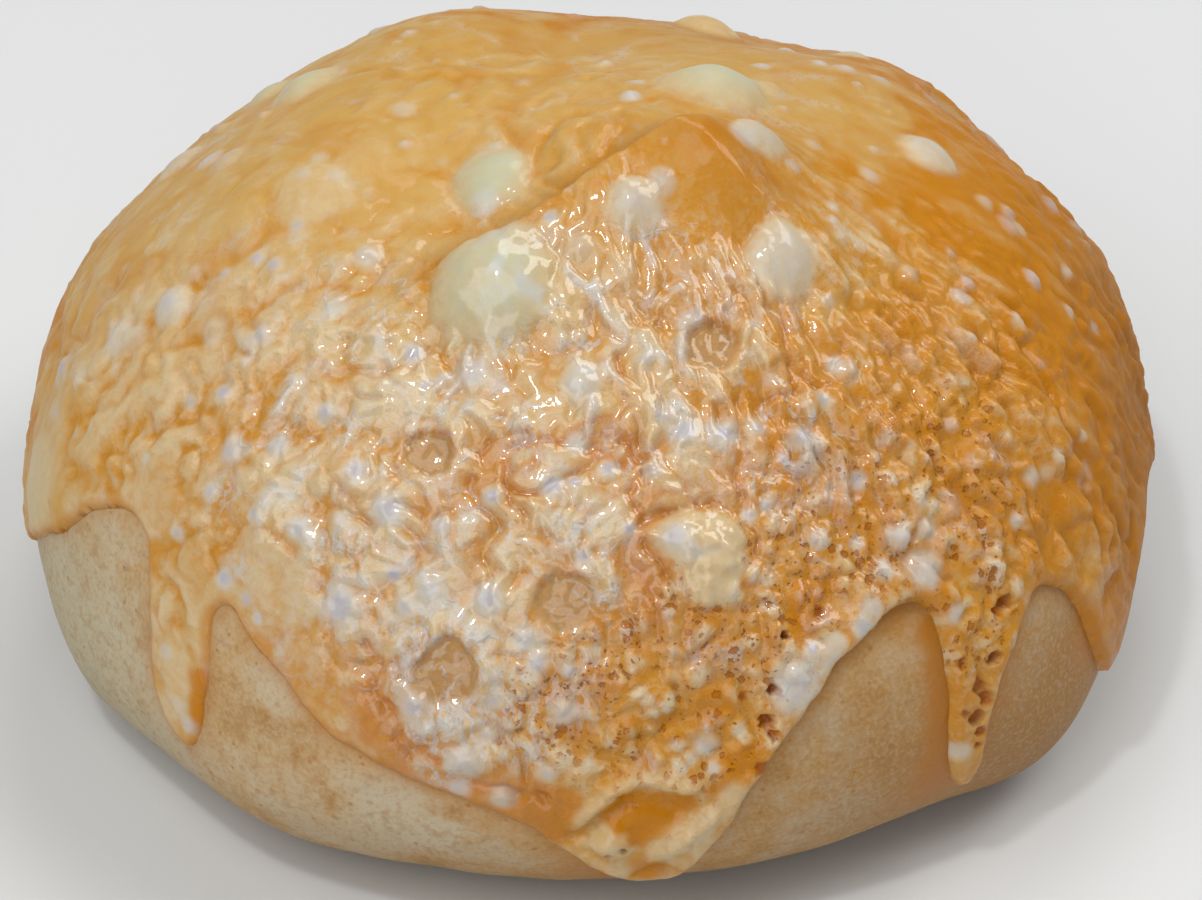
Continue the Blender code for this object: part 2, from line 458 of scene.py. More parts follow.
@dataclass
class Skin:
    """Places on the plain roll: where a mesh's corners start, and what is known there."""

    form: Form
    bearing: Array
    reach: Array
    points: Array = field(init=False)
    outward: Array = field(init=False)

    def __post_init__(self) -> None:
        """Work out the points, and the way out of the roll at them."""
        self.points = self.form.place(self.bearing, self.reach)
        self.outward = self.form.outward(self.bearing, self.reach)


class Layers(dict[str, Array]):
    """The colour layers of a mesh: a share for each of its corners, by the layer's name."""

    def lay(self, name: str, share: Array) -> None:
        """Raise a layer to a share where it is lower."""
        self[name] = np.maximum(self[name], share)

    def fade(self, names: tuple[str, ...], share: Array) -> None:
        """Take a share of each of the named layers away."""
        for name in names:
            self[name] *= 1 - share

    def store(self, thing: bpy.types.Object, source: Array | slice = slice(None)) -> None:
        """Store the layers on a mesh, for its material to read.

        Args:
            thing: The mesh.
            source: Which of the layers' values each of its corners takes.
        """
        for name, values in self.items():
            layer = thing.data.attributes.new(name, "FLOAT", "POINT")
            layer.data.foreach_set("value", values[source].astype(np.float32))


def rounded(knots: Array) -> Array:
    """Round a path's corners off.

    Args:
        knots: The path, one row for each knot.

    Returns:
        A finer path with the same ends.
    """
    cuts, width = 4, 5
    steps = np.linspace(0, len(knots) - 1, cuts * (len(knots) - 1) + 1)
    fine = np.stack([np.interp(steps, np.arange(len(knots)), column) for column in knots.T], axis=1)
    padded = np.pad(fine, ((width // 2, width // 2), (0, 0)), mode="edge")
    return np.stack([np.convolve(column, np.full(width, 1 / width), "valid") for column in padded.T], axis=1)


def path_gap(points: Array, spots: Array) -> tuple[Array, Array, Array]:
    """Measure points against a path of straight stretches.

    Args:
        points: The points, in mm.
        spots: The path's knots, in mm.

    Returns:
        Each point's distance from the path, how far along it lies in knots, and which way it lies off.
    """
    best = np.full(len(points), np.inf)
    along = np.zeros(len(points))
    off = np.zeros_like(points)
    for i, (start, end) in enumerate(zip(spots, spots[1:])):
        run = end - start
        share = np.clip((points - start) @ run / (run @ run), 0, 1)
        gap = points - start - share[:, None] * run
        away = np.linalg.norm(gap, axis=1)
        closer = away < best
        best = np.where(closer, away, best)
        along = np.where(closer, i + share, along)
        off = np.where(closer[:, None], np.cross(run, gap), off)
    return best, along, off


def deselect() -> None:
    """Leave object mode with nothing selected."""
    if bpy.context.mode != "OBJECT":
        bpy.ops.object.mode_set(mode="OBJECT")
    bpy.ops.object.select_all(action="DESELECT")


def ball(name: str, level: int, cuts: int = 0) -> bpy.types.Object:
    """A fine ball of even triangles.

    Args:
        name: The new object's name.
        level: How often the ball's faces are halved.
        cuts: How often each edge is cut again in edit mode.

    Returns:
        The ball, with a radius of 1 and no place of its own.
    """
    deselect()
    bpy.ops.mesh.primitive_ico_sphere_add(subdivisions=level, radius=1)
    if cuts:
        bpy.ops.object.mode_set(mode="EDIT")
        bpy.ops.mesh.select_all(action="SELECT")
        bpy.ops.mesh.subdivide(number_cuts=cuts)
        bpy.ops.object.mode_set(mode="OBJECT")
    made = bpy.context.object
    made.name = name
    made.data.name = name
    return made


def corners(thing: bpy.types.Object) -> Array:
    """The corners of a mesh, one row each."""
    flat = np.empty(len(thing.data.vertices) * 3, np.float32)
    thing.data.vertices.foreach_get("co", flat)
    return flat.reshape(-1, 3).astype(float)


def set_corners(thing: bpy.types.Object, points: Array) -> None:
    """Move the corners of a mesh."""
    thing.data.vertices.foreach_set("co", points.astype(np.float32).ravel())
    thing.data.update()


def gather(directions: Array, bearing: float, tilt: float, pull: float) -> Array:
    """Draw directions together round one of them, which keeps small triangles even.

    Args:
        directions: One row each.
        bearing: The bearing that they are drawn to, in degrees.
        tilt: Its angle from straight up, in degrees.
        pull: Below 1 draws them closer.

    Returns:
        The new directions, one row each.
    """
    side = math.sin(math.radians(tilt))
    turn = math.radians(bearing)
    middle = np.array([side * math.sin(turn), -side * math.cos(turn), math.cos(math.radians(tilt))])
    unit = directions / np.linalg.norm(directions, axis=1, keepdims=True)
    along = np.clip(unit @ middle, -1, 1)
    across = unit - along[:, None] * middle
    length = np.linalg.norm(across, axis=1, keepdims=True)
    across = across / np.where(length > 1e-9, length, 1)
    angle = 2 * np.arctan(pull * np.tan(np.arccos(along) / 2))
    return np.cos(angle)[:, None] * middle + np.sin(angle)[:, None] * across


def skin_of(form: Form, directions: Array) -> Skin:
    """The places on the roll that directions from the middle of a ball stand for."""
    polar = np.arccos(np.clip(directions[:, 2] / np.linalg.norm(directions, axis=1), -1, 1))
    bearing = np.degrees(np.arctan2(directions[:, 0], -directions[:, 1]))
    return Skin(form, bearing, form.full_reach * polar / math.pi)


class Value:
    """A shader socket that can be used in sums."""

    def __init__(self, tree: bpy.types.NodeTree, socket: bpy.types.NodeSocket) -> None:
        """Wrap a socket of a node tree."""
        self.tree = tree
        self.socket = socket

    def combine(self, operation: str, *others: "Value | float", clamp: bool = False) -> "Value":
        """Put this value and others through a Math node.

        Args:
            operation: The node's operation.
            others: The values after this one.
            clamp: Whether the result is kept from 0 to 1.

        Returns:
            The result.
        """
        node = self.tree.nodes.new("ShaderNodeMath")
        node.operation = operation
        node.use_clamp = clamp
        for socket, value in zip(node.inputs, (self, *others)):
            if isinstance(value, Value):
                self.tree.links.new(value.socket, socket)
            else:
                socket.default_value = value
        return Value(self.tree, node.outputs[0])

    __add__ = __radd__ = partialmethod(combine, "ADD")
    __sub__ = partialmethod(combine, "SUBTRACT")
    __rsub__ = partialmethod(combine, "MULTIPLY_ADD", -1)
    __mul__ = __rmul__ = partialmethod(combine, "MULTIPLY")
    __abs__ = partialmethod(combine, "ABSOLUTE")

    def between(self, low: float, high: float) -> "Value":
        """0 at low and 1 at high, easing in between; high may be the lower number."""
        share = (self - low).combine("MULTIPLY", 1 / (high - low), clamp=True)
        return share * share * (3 - 2 * share)

    def clipped(self) -> "Value":
        """This value kept from 0 to 1."""
        return self.combine("MULTIPLY", 1, clamp=True)


class Paint:
    """The nodes of one material, with short ways to add them."""

    UNDER, OVER, MIXED = 6, 7, 2  # the Mix node's colour sockets

    def __init__(self, name: str) -> None:
        """Start a material with one Principled shader.

        Args:
            name: The material's name.
        """
        self.material = bpy.data.materials.new(name)
        self.material.use_nodes = True
        self.tree = self.material.node_tree
        self.tree.nodes.clear()
        self.shader = self.node("ShaderNodeBsdfPrincipled")
        output = self.node("ShaderNodeOutputMaterial")
        self.tree.links.new(self.shader.outputs["BSDF"], output.inputs["Surface"])
        self.coordinates = self.node("ShaderNodeTexCoord").outputs["Object"]

    def node(self, kind: str, settings: dict | None = None, inputs: dict | None = None) -> bpy.types.Node:
        """Add a node.

        Args:
            kind: The node's type.
            settings: Its own settings, which are set first.
            inputs: A value or a link for each named or numbered socket.

        Returns:
            The node.
        """
        made = self.tree.nodes.new(kind)
        for name, setting in (settings or {}).items():
            setattr(made, name, setting)
        for name, value in (inputs or {}).items():
            self.feed(made.inputs[name], value)
        return made

    def feed(self, socket: bpy.types.NodeSocket, value: object) -> None:
        """Link or set one socket.

        Args:
            socket: The socket.
            value: A value, a socket to link, a colour or a number.
        """
        if isinstance(value, Value):
            value = value.socket
        if isinstance(value, bpy.types.NodeSocket):
            self.tree.links.new(value, socket)
        elif isinstance(value, tuple) and len(value) == 3 and socket.type == "RGBA":
            socket.default_value = (*value, 1)
        else:
            socket.default_value = value

    def set(self, **inputs: object) -> None:
        """Link or set the shader's sockets, with _ for a space in their names."""
        for name, value in inputs.items():
            self.feed(self.shader.inputs[name.replace("_", " ")], value)

    def layer(self, name: str) -> Value:
        """Read one of the mesh's stored layers."""
        node = self.node("ShaderNodeAttribute", {"attribute_name": name})
        return Value(self.tree, node.outputs["Fac"])

    def noise(self, size: float, detail: float, roughness: float = 0.6,
              at: bpy.types.NodeSocket | None = None) -> Value:
        """Soft noise from 0 to 1.

        Args:
            size: The width of a wave, in mm.
            detail: How many finer waves lie on it.
            roughness: How strong those are.
            at: The coordinates to read it at.

        Returns:
            The noise.
        """
        node = self.node("ShaderNodeTexNoise", {}, {
            "Vector": at or self.coordinates, "Scale": 1 / (size * MM), "Detail": detail,
            "Roughness": roughness})
        return Value(self.tree, node.outputs["Fac"])

    def bent(self, size: float, amount: float) -> bpy.types.NodeSocket:
        """The coordinates pushed about.

        Args:
            size: The width of a push, in mm.
            amount: How far it reaches, in mm.

        Returns:
            The coordinates.
        """
        push = self.node("ShaderNodeTexNoise", {}, {
            "Vector": self.coordinates, "Scale": 1 / (size * MM), "Detail": 2.0}).outputs["Color"]
        centred = self.vector("SUBTRACT", push, (0.5, 0.5, 0.5))
        return self.vector("ADD", self.coordinates, self.vector("SCALE", centred, Scale=2 * amount * MM))

    def vector(self, operation: str, *values: object, **named: float) -> bpy.types.NodeSocket:
        """Put vectors through a Vector Math node."""
        inputs = dict(enumerate(values)) | named
        return self.node("ShaderNodeVectorMath", {"operation": operation}, inputs).outputs[0]

    def dots(self, size: float, at: bpy.types.NodeSocket | None = None) -> tuple[Value, Value]:
        """Scattered dots.

        Args:
            size: The mean distance between dots, in mm.
            at: The coordinates to read them at.

        Returns:
            The distance to the nearest dot, as a share of that size, and the dot's own lot from 0 to 1.
        """
        node = self.node("ShaderNodeTexVoronoi", {"feature": "F1"}, {
            "Vector": at or self.coordinates, "Scale": 1 / (size * MM)})
        apart = self.node("ShaderNodeSeparateColor", {}, {"Color": node.outputs["Color"]})
        return Value(self.tree, node.outputs["Distance"]), Value(self.tree, apart.outputs[0])

    def coats(self, base: object, *coats: tuple[Value, object]) -> bpy.types.NodeSocket:
        """Lay colours over each other.

        Args:
            base: The lowest colour.
            coats: How much of each colour shows over those below, from 0 to 1, and the colour.

        Returns:
            The mixed colour.
        """
        for share, colour in coats:
            base = self.node("ShaderNodeMix", {"data_type": "RGBA"}, {
                "Factor": share, self.UNDER: base, self.OVER: colour}).outputs[self.MIXED]
        return base

    def bump(self, height: Value) -> bpy.types.NodeSocket:
        """The normal of fine relief, from its height in mm."""
        return self.node("ShaderNodeBump", {}, {"Height": height, "Distance": MM}).outputs["Normal"]


@dataclass(frozen=True)
class CrustFinish:
    """The baked skin of the roll: matte, mottled, with fine pores and oil stains, and a grey painted shade
    down its left side.
    """

    skin: Colour = (0.44, 0.262, 0.092)
    pale: Colour = (0.47, 0.40, 0.275)
    # painted shade: a cool grey for the roll's left side
    grey: Colour = (0.39, 0.345, 0.225)
    brown: Colour = (0.29, 0.135, 0.032)
    stain: Colour = (0.36, 0.13, 0.004)
    roughness: float = 0.62
    shine: float = 0.3
    oil: float = 0.2
    oil_roughness: float = 0.3
    glow: float = 0.1
    glow_radius: Colour = (1.0, 0.5, 0.25)
    glow_depth: float = 1.0

    def material(self) -> bpy.types.Material:
        """Make the material.

        Returns:
            It reads the layers pale, brown and stain, and the grey layer of painted shade.
        """
        paint = Paint("baked_roll_crust")
        layer = paint.layer
        mottle = paint.noise(6.0, detail=4)
        fine = paint.noise(1.1, detail=3)
        grit = paint.noise(0.42, detail=2)
        dimples = paint.noise(2.2, detail=1, roughness=0.5)
        pore, lot = paint.dots(1.1)
        speck = pore.between(0.22, 0.12) * lot.between(0.72, 0.8)
        tan = paint.coats(
            self.skin,
            (mottle.between(0.42, 0.66) * 0.75, self.pale),
            (mottle.between(0.5, 0.30) * 0.5, self.brown),
            (layer("pale") * mottle.between(0.3, 0.5), self.pale),
            # painted shade: the grey laid over the left side
            (layer("grey") * 0.85, self.grey),
            (layer("brown") * (0.6 + 0.5 * mottle), self.brown),
            (fine.between(0.48, 0.70) * 0.4, self.brown),
            (grit.between(0.45, 0.72) * 0.3, self.pale),
            (grit.between(0.5, 0.28) * 0.3, self.brown),
            (layer("stain") * (0.7 + 0.6 * mottle), self.stain),
            (speck * 0.6, self.stain),
        )
        paint.set(Base_Color=tan, Roughness=self.roughness - 0.18 * layer("stain"),
                  Normal=paint.bump(0.14 * dimples + 0.05 * fine + 0.08 * grit - 0.05 * speck),
                  Coat_Weight=self.oil * layer("stain"), Coat_Roughness=self.oil_roughness,
                  Specular_IOR_Level=self.shine, Subsurface_Weight=self.glow,
                  Subsurface_Radius=self.glow_radius, Subsurface_Scale=self.glow_depth * MM)
        return paint.material


@dataclass(frozen=True)
class CheeseFinish:
    """Melted and baked cheese: cream on the puffed parts, orange in the folds, wet in front. Its white veils
    and strands are partly painted highlight, and some of its browns are painted shadow.
    """

    golden: Colour = (0.475, 0.285, 0.080)
    cream: Colour = (0.52, 0.395, 0.225)
    floor: Colour = (0.345, 0.20, 0.088)
    white: Colour = (0.45, 0.485, 0.51)
    green: Colour = (0.435, 0.435, 0.30)
    lilac: Colour = (0.36, 0.35, 0.41)
    valley: Colour = (0.465, 0.205, 0.020)
    amber: Colour = (0.44, 0.165, 0.005)
    crease: Colour = (0.43, 0.155, 0.018)
    # toast: a toasted brown, also laid as painted shadow along folds and crater rims
    toast: Colour = (0.30, 0.115, 0.015)
    pool: Colour = (0.45, 0.165, 0.001)
    pit: Colour = (0.31, 0.080, 0.001)
    hole: Colour = (0.32, 0.10, 0.004)
    roughness: float = 0.42
    shine: float = 0.07
    wet_roughness: float = 0.08
    glow: float = 0.32
    glow_radius: Colour = (1.0, 0.42, 0.10)
    glow_depth: float = 1.1
    stretch: tuple[float, float, float] = (1.0, 0.6, 0.4)

    def material(self) -> bpy.types.Material:
        """Make the material.

        Returns:
            It reads the layers that CheeseCrust stores.
        """
        paint = Paint("melted_baked_cheese")
        layer = paint.layer
        bent = paint.bent(1.9, 0.5)
        fine = paint.noise(0.9, detail=2, at=bent)
        lively = fine.between(0.36, 0.64)
        grit = paint.noise(0.28, detail=1)
        winding = abs(paint.noise(3.4, detail=1, roughness=0.5, at=bent) - 0.5).between(0.034, 0.0)
        lines = winding * (layer("film") * fine.between(0.38, 0.55))
        streak = paint.noise(0.7, detail=1, at=paint.vector("MULTIPLY", bent, self.stretch))
        strands = abs(streak - 0.5).between(0.07, 0.0)
        veil = layer("veil")
        porous, ragged = layer("pores"), 0.5 * (grit - 0.5)
        (hole, lot), (small, small_lot) = paint.dots(1.05, bent), paint.dots(0.6, bent)
        large = hole + ragged + 0.34 * (1 - lot)
        minor = small + ragged + 0.30 * (1 - small_lot)
        pinhole = ((large.between(0.47, 0.32) + minor.between(0.30, 0.18)) * porous).clipped()
        crumb = paint.coats(self.valley, (0.4 + 0.6 * grit.between(0.3, 0.6), self.floor))
        base = paint.coats(
            self.golden,
            (layer("cream") * (0.75 + 0.4 * lively), self.cream),
            (layer("valley") * (1.15 - 0.5 * lively), self.valley),
            (layer("amber") * (0.8 + 0.4 * fine), self.amber),
            (layer("red") * (0.6 + 0.7 * fine), self.crease),
            # toasted brown, and painted shadow beside folds and craters
            (layer("toast") * (0.35 + 1.2 * fine), self.toast),
            (layer("floor"), crumb),
            (large.between(0.85, 0.40) * porous * 0.4, self.amber),
            (layer("pool"), self.pool),
            (layer("green"), self.green),
            (layer("white") * (0.7 + 0.6 * fine), self.white),
            # Whitish film and painted highlight: white streaks and strands over the veil layer.
            (veil * (0.06 + 0.6 * streak.between(0.45, 0.72) + 0.5 * strands), self.white),
            # Whitish film and painted highlight along the winding film lines.
            (lines * 0.42, self.white),
            (layer("lilac") * 0.8, self.lilac),
            (pinhole * 0.88, self.hole),
            (layer("pit"), self.pit),
        )
        folds = 1 - 2 * abs(fine - 0.5)
        height = (0.06 * lines + 0.04 * veil * strands + (0.11 * folds + 0.03 * grit) * layer("rough")
                  - 0.16 * pinhole)
        paint.set(Base_Color=base, Roughness=self.roughness + 0.2 * layer("toast") + 0.2 * (grit - 0.5),
                  Normal=paint.bump(height), Specular_IOR_Level=self.shine, Coat_Weight=layer("wet"),
                  Coat_Roughness=self.wet_roughness, Subsurface_Weight=self.glow,
                  Subsurface_Radius=self.glow_radius, Subsurface_Scale=self.glow_depth * MM)
        return paint.material


@dataclass
class BreadRoll:
    """The bread roll itself."""

    form: Form
    edge: Edge
    level: int = 7
    core_level: int = 5
    core_sink: float = 0.35
    finish: CrustFinish = CrustFinish()
    dent: float = 0.10
    dent_length: float = 4.5
    pull: float = 0.8
    finest: Place = (0, 100)  # the bearing and tilt that the mesh is drawn to, in degrees
    soak: float = 0.9
    pale: tuple[Patch, ...] = rows(
        Patch,
        (-18, 69.5, 2.6, 2), (-15, 70, 2.4, 2), (-52, 76, 10, 0.8), (-66, 70, 9, 0.7), (28, 84, 5, 0.5),
        (-24, 74, 9, 0.6), (-32, 62, 4, 0.6), (160, 74, 14, 0.6), (-150, 72, 12, 0.6),
    )
    # Painted shade: cool grey patches down the left side of the roll.
    grey: tuple[Patch, ...] = rows(Patch, (-60, 74, 14, 0.9), (-72, 66, 10, 0.8), (-95, 78, 14, 0.5))
    brown: tuple[Patch, ...] = rows(
        Patch,
        (30, 66, 10, 0.5), (50, 74, 12, 0.85), (60, 70, 10, 0.8), (0, 90, 16, 0.5), (30, 92, 16, 0.7),
        (-30, 92, 16, 0.5), (90, 80, 18, 0.6),
    )
    stain: tuple[Patch, ...] = rows(
        Patch,
        (36.2, 57, 1.3, 1.2), (36.3, 60, 1.4, 1.3), (36.2, 63, 1.4, 1.3), (36, 66, 1.5, 1.3),
        (33, 55, 2.2, 0.4), (35.8, 69, 1.8, 1.3), (35.5, 72.5, 2.8), (57, 66, 2.5, 0.8), (61, 74, 3, 0.8),
        (39.5, 64, 3), (2, 76, 4, 0.8),
    )

    def shaped(self, name: str, level: int, sink: float, rough: bool) -> tuple[bpy.types.Object, Skin]:
        """Model the roll's form from a ball.

        Args:
            name: The new object's name.
            level: The ball's fineness.
            sink: How far the whole skin lies under the true one, in mm.
            rough: Whether the skin has its small dents, and is finer in front.

        Returns:
            The object, and the places of its corners.
        """
        thing = ball(name, level)
        skin = skin_of(self.form, gather(corners(thing), *self.finest, self.pull if rough else 1))
        lift = self.form.lift(skin.points, skin.reach) - sink
        if rough:
            dents = self.dent * Grain(8).waves(skin.points, self.dent_length)
            lift += dents * self.form.above_foot(skin.reach)
        set_corners(thing, (skin.points + skin.outward * lift[:, None]) * MM)
        return thing, skin

    def core(self) -> bpy.types.Object:
        """The form that the slice is cut to lie on."""
        return self.shaped("roll_core", self.core_level, self.core_sink, rough=False)[0]

    def build(self) -> bpy.types.Object:
        """Model and dress the roll.

        Returns:
            The finished piece.
        """
        roll, skin = self.shaped("roll_crust", self.level, 0, rough=True)
        inside, _ = self.edge.inside(skin.points, skin.outward)
        near = np.exp(-np.maximum(-inside, 0) / self.soak)
        front = ease(70, 30, np.abs(skin.bearing - 10))
        under = ease(self.form.base_reach - 10, self.form.base_reach + 4, skin.reach)
        layers = Layers({name: self.form.area(skin.points, getattr(self, name))
                         for name in ("pale", "grey", "brown", "stain")})
        layers["brown"] = np.clip(layers["brown"] + 0.8 * under, 0, 1)
        layers["stain"] = np.clip(layers["stain"] + near * (0.3 + 0.4 * front), 0, 1)
        layers.store(roll)
        roll.data.materials.append(self.finish.material())
        roll.data.shade_smooth()
        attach(roll, "root")
        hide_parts("bread_roll")
        return roll


